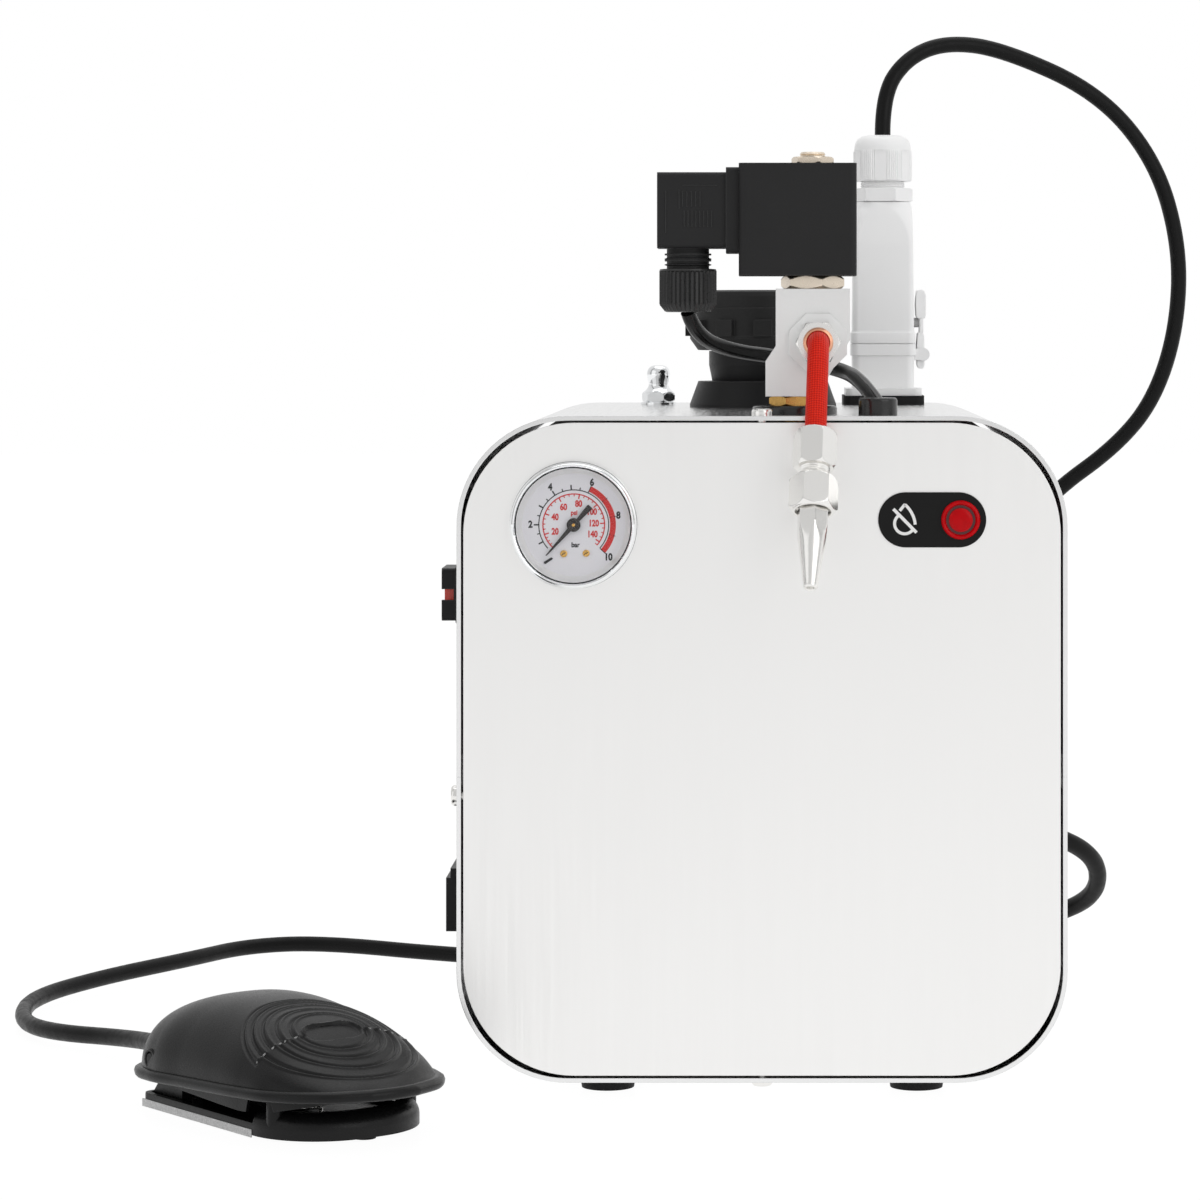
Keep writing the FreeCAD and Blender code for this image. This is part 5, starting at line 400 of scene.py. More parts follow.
# Painted highlight for the tread's raised dashes.
DASH_HIGHLIGHT_PAINT = finish("pale dash paint for painted highlights", 0.30, 0.4, tint=0.3, cloud=400.0)
GREY_PLASTIC = finish("light grey plastic", 0.92, 0.4, grain=900.0, tint=0.015, edge=0.4, shine=0.4)
SPECKLE = finish("speckled metal tape", 0.62, 0.6, 0.2, depth=0.15, tint=0.5, cloud=1300.0, bump=0.8)
DIAL_PAINT = finish("dial paint", (0.74, 0.73, 0.765), 0.5, depth=0.004, tint=0.01)
BLACK_PRINT = finish("black print", (0.012, 0.012, 0.014), 0.5, depth=0.004)
RED_PRINT = finish("red print", (0.60, 0.022, 0.022), 0.5, depth=0.004)
WHITE_PRINT = finish("white print", (0.84, 0.84, 0.83), 0.5, depth=0.004)
NEEDLE_PAINT = finish("needle paint", (0.022, 0.019, 0.018), 0.45, depth=0.01)
GLOSS_BLACK = finish("satin black label", 0.008, 0.38, grain=700.0, depth=0.006, tint=0.1, rough_spread=0.04,
                     edge=0.3, shine=0.14)
RED_LENS = finish("red lens", (0.42, 0.0005, 0.003), 0.16, grain=350.0, depth=0.04, tint=0.25, rough_spread=0.04,
                  cloud=300.0, shine=0.12, Emission_Color=(0.60, 0.0, 0.004, 1), Emission_Strength=0.10)
# Painted shade for the floor of the lamp's groove.
GROOVE_SHADE_LENS = finish("red lens with painted groove shade", (0.10, 0.002, 0.003), 0.12, grain=350.0, tint=0.5, rough_spread=0.04, cloud=250.0)
RED_ROCKER = finish("red rocker", (0.55, 0.03, 0.01), 0.3, grain=500.0, depth=0.01)
CORD_RUBBER = finish("cord jacket", 0.0045, 0.40, grain=260.0, depth=0.10, tint=0.2, shine=0.15)
CABLE_RUBBER = finish("glossy cable jacket", 0.005, 0.18, grain=300.0, depth=0.03, tint=0.2, shine=0.35)
RED_BRAID = woven("red braid", (0.46, 0.003, 0.0015), (0.84, 0.030, 0.010))
SATIN_WHITE = finish("satin white ring", 0.80, 0.4, 0.35, depth=0.004, tint=0.01)
GLASS = finish("gauge glass", (0.97, 0.98, 0.98), 0.02, grain=200.0, depth=0.001, tint=0.01, rough_spread=0.01,
               Transmission_Weight=1.0, Alpha=0.16, IOR=1.45)

DRESS = {
    FRONT_STEEL: "front_panel back_panel",
    WRAP_STEEL: "upper_shell lower_shell",
    PLAIN_STEEL: "chassis_tray boiler_tank filler_neck heating_element inner_pipes plunger_spring pedal_spring "
                 "valve_plunger",
    PLATED_STEEL: "shell_screws port_nut compression_nut nozzle_union nozzle pedal_pin",
    WARM_NICKEL: "armature_tube coil_nut",
    CHROME: "relief_valve_body gauge_case",
    CAST_ALUMINIUM: "valve_body",
    BRASS: "brass_nipple relief_poppet",
    COPPER: "steam_tube",
    RED_BRAID: "tube_sleeve",
    BLACK_RUBBER: "rubber_feet cap_gasket connector_gasket mains_strain_relief",
    GLOSSY_RUBBER: "cable_bush valve_base_seal",
    BLACK_PLASTIC: "neck_skirt boiler_controls pedal_switch switch_frame breaker_body breaker_button mains_plug",
    RIB_PLASTIC: "coil_plug_gland_nut",
    COIL_PLASTIC: "coil coil_plug",
    CAP_PLASTIC: "filler_cap",
    PEDAL_PLASTIC: "pedal_base pedal_cover",
    GREY_PLASTIC: "connector_base connector_hood locking_lever connector_gland_nut",
    DIAL_PAINT: "gauge_dial",
    NEEDLE_PAINT: "gauge_needle",
    GLOSS_BLACK: "indicator_plate",
    RED_LENS: "indicator_lamp",
    RED_ROCKER: "switch_rocker",
    CORD_RUBBER: "pedal_cord mains_cord mains_coil",
    CABLE_RUBBER: "valve_cable",
    GLASS: "gauge_glass",
}
for surface, names in DRESS.items():
    for name in names.split():
        slots = NODES[name].data.materials
        slots.clear()
        slots.append(surface)


# ---- camera, floor and light
FRAME_PIXELS = 1200.0
FOCAL_PIXELS = 4111.0
STRAIGHT_AHEAD = (772.0, 325.0)
SENSOR = 36.0
LAMPS = [
    ("key lamp", (1.5, -1.7, 1.2), 1.7, 10.0),
    ("fill lamp", (-1.7, -1.3, 0.9), 1.6, 3.0),
    ("top lamp", (0.1, 0.3, 1.9), 1.6, 7.0),
]
LAMPS_AIM = Vector((0, 0, 0.2))
FLOOR_HALF = 9


def stand_camera(scene):
    """A level camera in front of the panel, its picture shifted to the right and downwards."""
    lens = bpy.data.cameras.new("camera")
    lens.sensor_width = SENSOR
    lens.lens = SENSOR * FOCAL_PIXELS / FRAME_PIXELS
    lens.shift_x = (FRAME_PIXELS / 2 - STRAIGHT_AHEAD[0]) / FRAME_PIXELS
    lens.shift_y = (STRAIGHT_AHEAD[1] - FRAME_PIXELS / 2) / FRAME_PIXELS
    lens.clip_end = 20.0
    camera = bpy.data.objects.new("camera", lens)
    camera.location = (0.0045, -2.0125, 0.348)
    camera.rotation_euler = (math.pi / 2, 0, 0)
    scene.collection.objects.link(camera)
    scene.camera = camera
    scene.view_settings.view_transform = "Standard"


def fill_air(scene):
    """Air that is brighter behind than in front and on the right than on the left.

    A dark ring lies beside and above the object, which polished metal mirrors as thin dark lines.
    Seen directly, or through glass, the air is plain white."""
    world = bpy.data.worlds.new("studio air")
    world.use_nodes = True
    scene.world = world
    tree = world.node_tree
    way = node(tree, "SeparateXYZ", node(tree, "TexCoord").outputs["Generated"]).outputs
    off = maths(tree, "ABSOLUTE", maths(tree, "ADD", way["Y"], 0.10))
    level = spread(tree, off, From_Min=0.03, From_Max=0.07, To_Min=0.2, To_Max=1.0)
    for part, low, high in (("Y", 0.85, 1.18), ("X", 0.86, 1.14)):
        slope = spread(tree, way[part], From_Min=-1.0, From_Max=1.0, To_Min=low, To_Max=high)
        level = maths(tree, "MULTIPLY", level, slope)
    around = feed(tree, tree.nodes["Background"], Strength=0.77, Color=level)
    seen = node(tree, "Background", Color=(1, 1, 1, 1), Strength=1.0)
    ray = node(tree, "LightPath").outputs
    direct = maths(tree, "MAXIMUM", ray["Is Camera Ray"], ray["Is Transmission Ray"])
    mixer = node(tree, "MixShader", direct, around.outputs[0], seen.outputs[0])
    feed(tree, tree.nodes["World Output"], Surface=mixer.outputs[0])


def hang_lamps(scene):
    """Three large soft lamps that face the object."""
    for name, place, size, power in LAMPS:
        light = bpy.data.lights.new(name, "AREA")
        light.size = size
        light.energy = power
        lamp = bpy.data.objects.new(name, light)
        lamp.location = place
        lamp.rotation_euler = (LAMPS_AIM - Vector(place)).to_track_quat("-Z", "Y").to_euler()
        scene.collection.objects.link(lamp)


def lay_floor(scene):
    """A white floor that keeps soft shadows: the rays that see or mirror it find it almost as bright as the air."""
    far = FLOOR_HALF
    ground = bpy.data.meshes.new("floor")
    ground.from_pydata([(-far, -far, 0), (far, -far, 0), (far, far, 0), (-far, far, 0)], [], [(0, 1, 2, 3)])
    floor = bpy.data.objects.new("floor", ground)
    scene.collection.objects.link(floor)
    paint = bpy.data.materials.new("white floor")
    paint.use_nodes = True
    tree = paint.node_tree
    shader = feed(tree, tree.nodes["Principled BSDF"], Base_Color=shade(0.94, 1), Roughness=0.28,
                  Specular_IOR_Level=0.35)
    glow = node(tree, "Emission", Strength=1.035)
    ray = node(tree, "LightPath").outputs
    seen = maths(tree, "MAXIMUM", ray["Is Camera Ray"], ray["Is Glossy Ray"])
    mixer = node(tree, "MixShader", maths(tree, "MULTIPLY", seen, 0.93), shader.outputs[0], glow.outputs[0])
    feed(tree, tree.nodes["Material Output"], Surface=mixer.outputs[0])
    ground.materials.append(paint)


for prepare in (stand_camera, fill_air, hang_lamps, lay_floor):
    prepare(bpy.context.scene)


# ---- cords
def cord_line(name, points, diameter, surface):
    """One smooth line with the points as its control points, as thick as the cord."""
    line = bpy.data.curves.new(name, "CURVE")
    line.dimensions = "3D"
    line.bevel_depth = diameter / 2 * MM
    line.bevel_resolution = 6
    line.resolution_u = 12
    line.use_fill_caps = True
    spline = line.splines.new("NURBS")
    spline.points.add(len(points) - 1)
    for control, (x, y, z) in zip(spline.points, points):
        control.co = (x * MM, y * MM, z * MM, 1.0)
    spline.order_u = 3
    spline.use_endpoint_u = True
    line.materials.append(surface)
    piece = bpy.data.objects.new(name, line)
    bpy.context.scene.collection.objects.link(piece)
    return piece


PEDAL_ROUTE = [
    (62.0, 124.5, 446.6), (62.0, 126.0, 468.0), (74.5, 131.0, 487.0), (95.0, 138.0, 496.0),
    (125.0, 146.0, 493.0), (176.5, 153.0, 470.5), (207.5, 158.0, 434.0), (220.5, 162.0, 388.5),
    (219.0, 168.0, 344.5), (207.5, 178.0, 307.0), (187.5, 190.0, 282.0), (156.0, 200.0, 258.5),
    (122.5, 207.0, 221.5), (92.0, 209.0, 170.0), (62.0, 206.0, 112.0), (25.0, 200.0, 58.0),
    (-25.0, 195.0, 20.0), (-85.0, 196.0, 5.0), (-170.0, 207.0, 8.0), (-240.5, 227.5, 11.5),
    (-280.5, 218.5, 11.0), (-306.0, 174.5, 10.5), (-343.5, 124.5, 9.0), (-371.0, 75.5, 6.5),
    (-368.0, 20.5, 5.0), (-347.0, -23.5, 6.0), (-297.0, -65.5, 10.0), (-270.5, -126.5, 17.0),
    (-253.5, -148.1, 19.0),
]
MAINS_ROUTE = [
    (112.0, 185.0, 86.0), (121.0, 220.0, 82.5), (151.0, 247.0, 71.0), (184.0, 271.0, 54.5),
    (188.5, 297.0, 30.0), (169.5, 322.0, 14.0), (130.0, 332.0, 5.5), (96.0, 330.0, 5.2),
]
VALVE_CABLE_ROUTE = [
    (-34.2, -118.5, 353.9), (-31.0, -112.0, 343.5), (-15.5, -96.5, 336.0), (8.0, -90.5, 333.0),
    (37.0, -97.0, 327.5), (46.5, -127.0, 321.5), (52.7, -142.5, 312.0),
]


def coil_points(centre, outer, inner, low, high, steps=14):
    """Four turns about the centre, two flat rings on each other: radius and height step at each turn."""
    turns = np.arange(4 * steps + 1) / steps
    angle = math.pi * 0.5 + 2 * math.pi * turns
    ramp = np.clip((turns % 1.0 - 0.8) / 0.2, 0, 1)
    stage = np.minimum(np.floor(turns), 3).astype(int)
    radii = np.array([outer, inner, inner, outer, outer])
    heights = np.array([low, low, high, high, high])
    radius = radii[stage] * (1 - ramp) + radii[stage + 1] * ramp
    height = heights[stage] * (1 - ramp) + heights[stage + 1] * ramp
    grow = 1.0 / np.cos(math.pi / steps) ** 0.5
    return np.c_[centre[0] + radius * grow * np.cos(angle), centre[1] + radius * grow * np.sin(angle), height]


pedal_cord = cord_line("pedal_cord_line", PEDAL_ROUTE, 8.2, CORD_RUBBER)
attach(pedal_cord, "housing")
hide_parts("pedal_cord")

turns = coil_points(centre=(60.0, 270.0), outer=65.0, inner=54.9, low=5.3, high=15.6)
mains_points = MAINS_ROUTE[:-1] + [tuple(p) for p in turns[1:-1]] + [(50.0, 331.0, 14.0), (24.0, 330.0, 12.0)]
mains_lead = cord_line("mains_lead_line", mains_points, 10.0, CORD_RUBBER)
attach(mains_lead, "housing")
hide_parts("mains_cord", "mains_coil")

valve_cable = cord_line("valve_cable_line", VALVE_CABLE_ROUTE, 7.0, CABLE_RUBBER)
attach(valve_cable, "housing")
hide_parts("valve_cable")


# ---- gauge and lamp on the front panel
FRONT = -161.7
GAUGE = (-84.8, FRONT, 258.0)
LAMP = (89.4, FRONT, 260.3)
RIGHT, UP = (1, 0, 0), (0, 0, 1)
DIAL_FACE = -0.8
PRINT = 0.06
ROUND = 128
DIAL_SCREWS = ((-4.5, -13.0), (5.6, -12.8))
DROP_PLACE = (64.2, FRONT, 260.5)


def on_gauge(shape):
    return laid(shape, GAUGE, RIGHT, UP)


def on_lamp(shape):
    return laid(shape, LAMP, RIGHT, UP)


def gauge_rim():
    """A barrel and stem behind the panel; in front a rolled rim, a groove and a sloping inner wall."""
    profile = [
        (0, -39), (6.5, -39), (6.5, -25), (25.2, -25), (26, -24.2), (26, 0), (28.6, 0), (28.95, 0.3), (28.9, 0.8),
        (28.6, 1.1), (28.5, 1.6), (28.45, 4.4), (28.2, 5.6), (27.7, 6.5), (27.1, 6.9), (26.6, 6.7), (26.3, 6.1),
        (26.15, 5.2), (25.6, 4.9), (25.2, 3.6), (24.6, 1.4), (23.7, -0.4), (23.2, -0.95), (0, -0.95),
    ]
    rim = mesh_piece("gauge_rim", on_gauge(lathe(profile, ROUND)), CHROME)
    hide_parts("gauge_case")
    # Painted shade: two thin black rubber rings stand in for the dark lines of shade and reflection in the gap inside
    # the rim and at the step on its outside.
    gap_shade_ring = lathe([(25.75, 4.8), (26.2, 4.8), (26.25, 5.5), (25.95, 5.7), (25.7, 5.35)], ROUND, loop=True)
    rim_shade_line = lathe([(28.35, 1.2), (28.62, 1.2), (28.66, 1.4), (28.62, 1.6), (28.35, 1.6)], ROUND, loop=True)
    mesh_piece("gauge_shade_rings", on_gauge(together(gap_shade_ring, rim_shade_line)), GLOSSY_RUBBER)
    wall = lathe([(23.1, -0.90), (23.6, -0.45), (24.5, 1.4), (25.1, 3.6), (25.5, 4.85), (25.75, 4.85), (25.4, 3.5),
                  (24.8, 1.3), (23.9, -0.5), (23.3, -0.94)], ROUND, loop=True)
    mesh_piece("gauge_inner_wall", on_gauge(wall), SATIN_WHITE)


def gauge_print():
    """The bar scale in black with its red stretch, the psi scale in red, and their figures."""
    low, high = DIAL_FACE, DIAL_FACE + PRINT
    bar = np.array([225, 208.7, 180, 151, 122.3, 94, 65.8, 38.7, 11.6, -15.2, -42.0])
    halves = (bar[1:] + bar[:-1]) / 2
    psi = np.interp(np.arange(0, 145, 5), [0, 20, 40, 60, 80, 100, 120, 140],
                    [227, 198.3, 158.7, 118.9, 79.3, 41.0, 3.0, -33.5])
    on_red = [(bar[[6]], 15.8, 19.3, 0.36), (bar[7:10], 16.4, 17.2, 0.4), (bar[7:10], 18.4, 19.4, 0.4),
              (bar[10:], 16.0, 19.4, 0.42)]
    black = together(
        ribbon(arc(15.75, 222, -42), 0.46, low, high),
        spokes(bar[1:6], 15.8, 18.0, 0.66, low, high),
        spokes(halves[1:6], 15.8, 17.0, 0.5, low, high),
        *[spokes(*tick, low, high + 0.03) for tick in on_red],
        figures([("2", -19.5, 0.1), ("4", -10.6, 16.9), ("6", 8.2, 19.0), ("8", 20.1, 4.2), ("10", 15.6, -14.6)],
                4.3, low, high, narrow=0.84, bold=0.21),
        figures([("bar", 0.8, -9.1)], 3.1, low, high, narrow=0.92, bold=0.11),
        prism([(-10.1, -14.6), (-9.3, -15.3), (-12.6, -17.6), (-13.5, -17.3), (-13.4, -16.6)], low, high + 0.3),
    )
    mesh_piece("gauge_scale_black", on_gauge(black), BLACK_PRINT)
    red = together(
        ribbon(arc(17.7, 65.3, -41.5), 2.6, low, high + 0.01),
        ribbon(arc(13.9, 226, -40), 0.54, low, high),
        spokes(psi[::4], 11.8, 13.8, 0.58, low, high),
        spokes(np.delete(psi, np.arange(0, len(psi), 4)), 12.8, 13.8, 0.42, low, high),
        spokes([-40.5], 12.6, 14.1, 0.45, low, high),
        figures([("20", -8.4, -3.1), ("40", -8.4, 3.4), ("60", -4.6, 7.9), ("80", 2.2, 9.4), ("100", 8.1, 5.8),
                 ("120", 9.0, 0.6), ("140", 8.4, -4.3)], 4.0, low, high, narrow=0.78, bold=0.17),
        figures([("psi", 0.2, 5.4)], 3.0, low, high, narrow=0.92, bold=0.11),
    )
    mesh_piece("gauge_scale_red", on_gauge(red), RED_PRINT)
    head = lathe([(0, DIAL_FACE), (1.6, DIAL_FACE), (1.6, -0.3), (1.1, 0.05), (0, 0.1)], 24)
    heads = [(head[0] + (x, y, 0), head[1]) for x, y in DIAL_SCREWS]
    mesh_piece("dial_screws", on_gauge(together(*heads)), BRASS)
    # Painted shade: each screw's slot is a dark strip laid over the domed head, standing in for the shade in a cut
    # slot.
    slots = [ribbon([(x - 1.0, y - 0.6), (x, y), (x + 1.0, y + 0.6)], 0.38, -0.2, 0.13) for x, y in DIAL_SCREWS]
    mesh_piece("dial_screw_slot_shade", on_gauge(together(*slots)), NEEDLE_PAINT)


def gauge_pointer():
    """A pointer that widens from its tip to the hub, and its broad tail, under a domed hub."""
    way = np.array([math.cos(math.radians(228)), math.sin(math.radians(228))])
    side = np.array([-way[1], way[0]])
    half = np.array([(18.5, 0.28), (2.0, 1.05), (-2.2, 0.75), (-4.5, 0.95), (-10.7, 1.38), (-11.3, 1.1)])
    there = half[:, :1] * way + half[:, 1:] * side
    back = half[:, :1] * way - half[:, 1:] * side
    hub = lathe([(0, 0.85), (3.1, 0.85), (3.1, 1.5), (2.5, 1.95), (0, 2.05)], 48)
    pointer = together(prism(np.concatenate([there, back[::-1]]), 0.9, 1.4), hub)
    needle = mesh_piece("gauge_pointer", on_gauge(pointer), NEEDLE_PAINT, body="needle")
    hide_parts("gauge_needle")
    mesh_piece("gauge_arbor", on_gauge(lathe([(0, 1.9), (0.75, 1.9), (0.75, 2.3), (0.4, 2.6), (0, 2.65)], 20)),
               BRASS, body="needle")


def water_lamp():
    """The lamp's stem, its round rim with a moat whose floor is painted dark red as shade, the domed lens, and the
    crossed-out drop beside it.
    """
    rim = [(0, -24), (6, -24), (6, 0), (8.6, 0), (8.8, 0.3), (8.8, 1.9), (8.4, 2.7), (7.8, 3.0), (7.2, 2.8),
           (6.8, 2.2), (6.6, 1.3), (0, 1.3)]
    bezel = mesh_piece("lamp_rim", on_lamp(lathe(rim)), RED_LENS)
    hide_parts("indicator_lamp")
    # Painted shade: a thin dark red ring lies on the groove's floor between rim and lens, where shade falls.
    groove_floor_shade = [(5.3, 1.3), (6.62, 1.3), (6.62, 1.38), (5.3, 1.38)]
    mesh_piece("lamp_moat_shade", on_lamp(lathe(groove_floor_shade, loop=True)), GROOVE_SHADE_LENS)
    lens = [(0, 1.3), (5.35, 1.3), (5.35, 2.9), (5.0, 3.3), (4.0, 3.6), (2.2, 3.8), (0, 3.9)]
    mesh_piece("lamp_lens", on_lamp(lathe(lens)), RED_LENS)
    low, high = 1.0, 1.07
    t = np.linspace(0, 1, 20)
    flank = np.c_[4.75 * np.sin(t * 1.45), 6.7 - 9.0 * t ** 1.25]
    crown = np.concatenate([[(-2.2, 3.9), (-1.1, 5.3)], flank])
    drop = together(
        ribbon(crown, 1.35, low, high),
        ribbon(arc(4.55, 124, 322, 44, -1.9), 1.35, low, high),
        ribbon([(-5.1, 4.7), (0, -0.5), (5.3, -5.9)], 1.45, low, high + 0.01),
    )
    mesh_piece("no_water_sign", laid(drop, DROP_PLACE, RIGHT, UP), WHITE_PRINT)


gauge_rim()
gauge_print()
gauge_pointer()
water_lamp()


# ---- solenoid valve and nozzle
VALVE_Y = -118.5
STEM = (23.2, VALVE_Y, 0.0)
PLUG = (-34.2, VALVE_Y, 0.0)
VALVE_TURN = 16
GLAND_RIBS = 34
PORT = (25.5, -136.0, 340.0)
BEND = np.array([25.5, -158.5, 340.0])
SLEEVE_RADIUS = 4.85
TILT, LEAN = math.radians(28.0), math.radians(2.0)
WAY = np.array([-math.sin(LEAN), -math.sin(TILT) * math.cos(LEAN), -math.cos(TILT) * math.cos(LEAN)])
TUBE_END = BEND + 45.0 * WAY
SIDE = np.cross(WAY, (0, 1, 0))


def on_nozzle(shape):
    return laid(shape, TUBE_END, SIDE, np.cross(WAY, SIDE))


def threads(radius, depth, low, high, pitch=0.9):
    """Profile of a thread as rings: the radius falls by the depth half-way between crests a pitch apart."""
    count = max(2, int(round((high - low) / pitch)))
    z = np.linspace(low, high, 2 * count + 1)
    r = np.where(np.arange(2 * count + 1) % 2 == 0, radius, radius - depth)
    return list(zip(r, z))


def ribs(count, depth, low, high):
    """Bends a lathe to ridges: r - depth (1 - max(0, cos nt)^3) between the two heights."""
    def bend(t, r, z):
        ridge = np.clip(np.cos(count * t), 0, 1) ** 3.0
        inside = (z > low) & (z < high)
        return r - np.where(inside, depth * (1 - ridge), 0.0)
    return bend


def coil_group():
    """The nuts below and above the coil, the plug's thread, its ribbed nut and the ribs on its face."""
    collar = finer([(13.0, 364.6), (15, 366.0), (15, 369.2), (13.0, 370.6)], 6).tolist()
    stem = six_sided([(0, 364.6), *collar, (7, 370.6), (7, 422), (5.5, 422), *threads(5.9, 0.35, 422.3, 426.7),
                      (5.2, 427.6), (3.2, 427.6), (2.8, 426.6), (0, 426.6)], 26.0, VALVE_TURN)
    stem = mesh_piece("armature_stem", laid(stem, STEM), WARM_NICKEL)
    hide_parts("armature_tube")
    nut = hexagon_nut(20.0, 422.0, 425.4, VALVE_TURN, bore=5.95)
    nut = mesh_piece("coil_clamp_nut", laid(nut, STEM), WARM_NICKEL)
    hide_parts("coil_nut")
    rings = [lathe([(9.5, z - 0.6), (10.8, z - 0.15), (10.9, z), (10.8, z + 0.15), (9.5, z + 0.6)], 64, loop=True)
             for z in (378.4, 375.7)]
    mesh_piece("plug_thread", laid(together(*rings), PLUG), COIL_PLASTIC)
    wall = [(13.2, z) for z in (357.8, *np.linspace(358.6, 372.2, 12), 372.9)]
    profile = [(0, 353.9), (9.6, 353.9), (10.6, 354.2), (12.9, 357.0), *wall, (12.9, 373.7), (10.6, 373.9), (0, 373.9)]
    gland = lathe(profile, GLAND_RIBS * 12, ribs(GLAND_RIBS, 1.15, 356.0, 372.6))
    gland = mesh_piece("ribbed_gland_nut", laid(gland, PLUG), RIB_PLASTIC)
    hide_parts("coil_plug_gland_nut")
    marks = []
    for x, low, high in ([(-44.1, 390.1, 409.3), (-38.0, 401.2, 410.0)]
                         + [(x, 402.1, 409.2) for x in (-36.4, -34.4, -32.4, -30.4, -28.4)]
                         + [(x, 392.8, 400.3) for x in (-35.7, -33.9, -32.1, -30.3, -28.5, -26.7, -24.9, -23.1)]):
        marks.append(ribbon([(x, low), (x, (low + high) / 2), (x, high)], 0.55, -0.2, 0.35))
    marks.append(ribbon([(-36.5, 411.9), (-28, 411.9), (-20.5, 411.9)], 0.35, -0.2, 0.25))
    marks = mesh_piece("plug_ribs", laid(together(*marks), (0, VALVE_Y - 14.0, 0), RIGHT, UP), COIL_PLASTIC)
    bevelled(marks, 0.12)


def port_group():
    """The hexagon on the port with its copper ferrule, and the woven sleeve over the bent tube."""
    nut = mesh_piece("port_hexagon", laid(hexagon_nut(21.0, 0, 7.0, 32), PORT, RIGHT, UP), PLATED_STEEL)
    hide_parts("port_nut")
    ferrule = [(3.2, 6.9), (6.9, 6.9), (6.9, 7.8), (6.3, 8.7), (5.5, 9.0), (5.0, 8.6), (3.2, 8.2)]
    ferrule = lathe(ferrule, 64, loop=True)
    mesh_piece("port_ferrule", laid(ferrule, PORT, RIGHT, UP), COPPER)
    start = np.array([PORT[0], PORT[1] - 8.6, PORT[2]])
    way_in, way_out = BEND + (0, 12.0, 0), BEND + 12.0 * WAY
    t = np.linspace(0, 1, 28)[:, None]
    curve = (1 - t) ** 2 * way_in + 2 * t * (1 - t) * BEND + t * t * way_out
    path = np.concatenate([start + (way_in - start) * np.linspace(0, 0.8, 3)[:, None], curve,
                           way_out + (TUBE_END + 0.6 * WAY - way_out) * np.linspace(0.03, 1, 34)[:, None]])
    run = np.concatenate([[0], np.cumsum(np.linalg.norm(np.diff(path, axis=0), axis=1))])
    ahead = unit(np.gradient(path, axis=0))
    over = unit(np.cross(ahead, (1, 0, 0)))
    beside = np.cross(over, ahead)
    radius = SLEEVE_RADIUS + 0.25 * np.exp(-run / 3.0)
    around = np.linspace(0, 2 * math.pi, 33)
    points = swept(path, radius, beside, over, around).reshape(-1, 3)
    uv = np.stack(np.broadcast_arrays(run[:, None] / SLEEVE_RADIUS, around[None, :]), 2) / (2 * math.pi)
    sleeve = mesh_piece("woven_sleeve", (points, grid_faces(len(path), 33, loop_columns=False)), RED_BRAID,
                        angle=80, uv=uv.reshape(-1, 2))
    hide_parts("tube_sleeve")


def nozzle_group():
    """Compression nut and its neck, the union with its hollow end, and the nozzle: six flats under a taper."""
    hexagon = finer([(7.8, 0), (9.75, 1.5), (9.75, 16.6), (8.5, 18.2)], 6).tolist()
    nut = six_sided([(0, 1.2), (5.0, 1.2), (5.4, 0.2), *hexagon, (7.4, 18.2), (6.7, 18.3),
                     *threads(7.0, 0.45, 18.6, 22.6), (6.9, 27.4), (0, 27.4)], 16.9, 101)
    nut = mesh_piece("compression_hexagon", on_nozzle(nut), PLATED_STEEL)
    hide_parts("compression_nut")
    hexagon = finer([(8.4, 22.4), (11.0, 24.6), (11.0, 37.4), (9.2, 39.3)], 6).tolist()
    union = six_sided([(7.05, 22.4), *hexagon, (8.6, 39.5), (8.1, 39.5), (7.8, 39.0), (7.8, 36.5), (7.05, 36.5)],
                      19.05, 84, loop=True)
    union = mesh_piece("union_hexagon", on_nozzle(union), PLATED_STEEL)
    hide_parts("nozzle_union")
    taper = finer([(7.25, 37.2), (7.25, 46.0), (6.75, 50.0), (3.3, 74.6)], 12).tolist()
    tip = six_sided([(0, 27.5), (5.6, 27.5), (5.6, 37.2), *taper, (3.25, 75.9), (2.8, 76.4), (2.2, 76.5),
                     (1.7, 76.2), (1.2, 74.0), (0, 74.0)], 12.6, 54)
    tip = mesh_piece("steam_nozzle", on_nozzle(tip), PLATED_STEEL)
    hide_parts("nozzle")


coil_group()
port_group()
nozzle_group()


# ---- relief valve
RELIEF_PLACE = (-53.8, 99.5, 0)
RELIEF_TURN = 20


def relief_valve():
    """A washer, a six-sided foot, and a polished bottle-shaped crown: one turned profile with flats low down."""
    foot = finer([(7.4, 308.6), (8.6, 309.4), (8.6, 312.6), (7.7, 313.6)], 5).tolist()
    t = np.linspace(0, 1, 14)
    neck = np.c_[7.6 - 2.6 * np.sin(t * math.pi / 2) ** 0.8, 313.8 + 3.9 * t].tolist()
    belly = np.c_[5.0 + 0.9 * np.sin(t[1:] * math.pi / 2), 317.7 + 5.2 * t[1:]].tolist()
    crown = np.c_[5.9 * np.cos(t[1:] * math.pi / 2) ** 0.62, 322.9 + 4.5 * np.sin(t[1:] * math.pi / 2)].tolist()
    profile = [(0, 296.0), (4.9, 296.0), (4.9, 307.0), (9.0, 307.0), (9.0, 308.3), (8.7, 308.6), *foot, *neck, *belly,
               *crown[:-1], (0, 327.4)]

    def bend(t, r, z):
        return np.where((z > 308.5) & (z < 313.7), flats(14.9, RELIEF_TURN)(t, r, z), r)

    crown = lathe(profile, bend=bend, start=RELIEF_TURN)
    piece = mesh_piece("relief_valve_crown", laid(crown, RELIEF_PLACE), CHROME, angle=50)
    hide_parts("relief_valve_body")


relief_valve()


# ---- pedal connector
CONNECTOR = (62.0, 124.5, 0.0)
SEAM = 338.2
HOOD_TALL = 73.6
NUT_TURN = -36
FINE_RIBS = 84


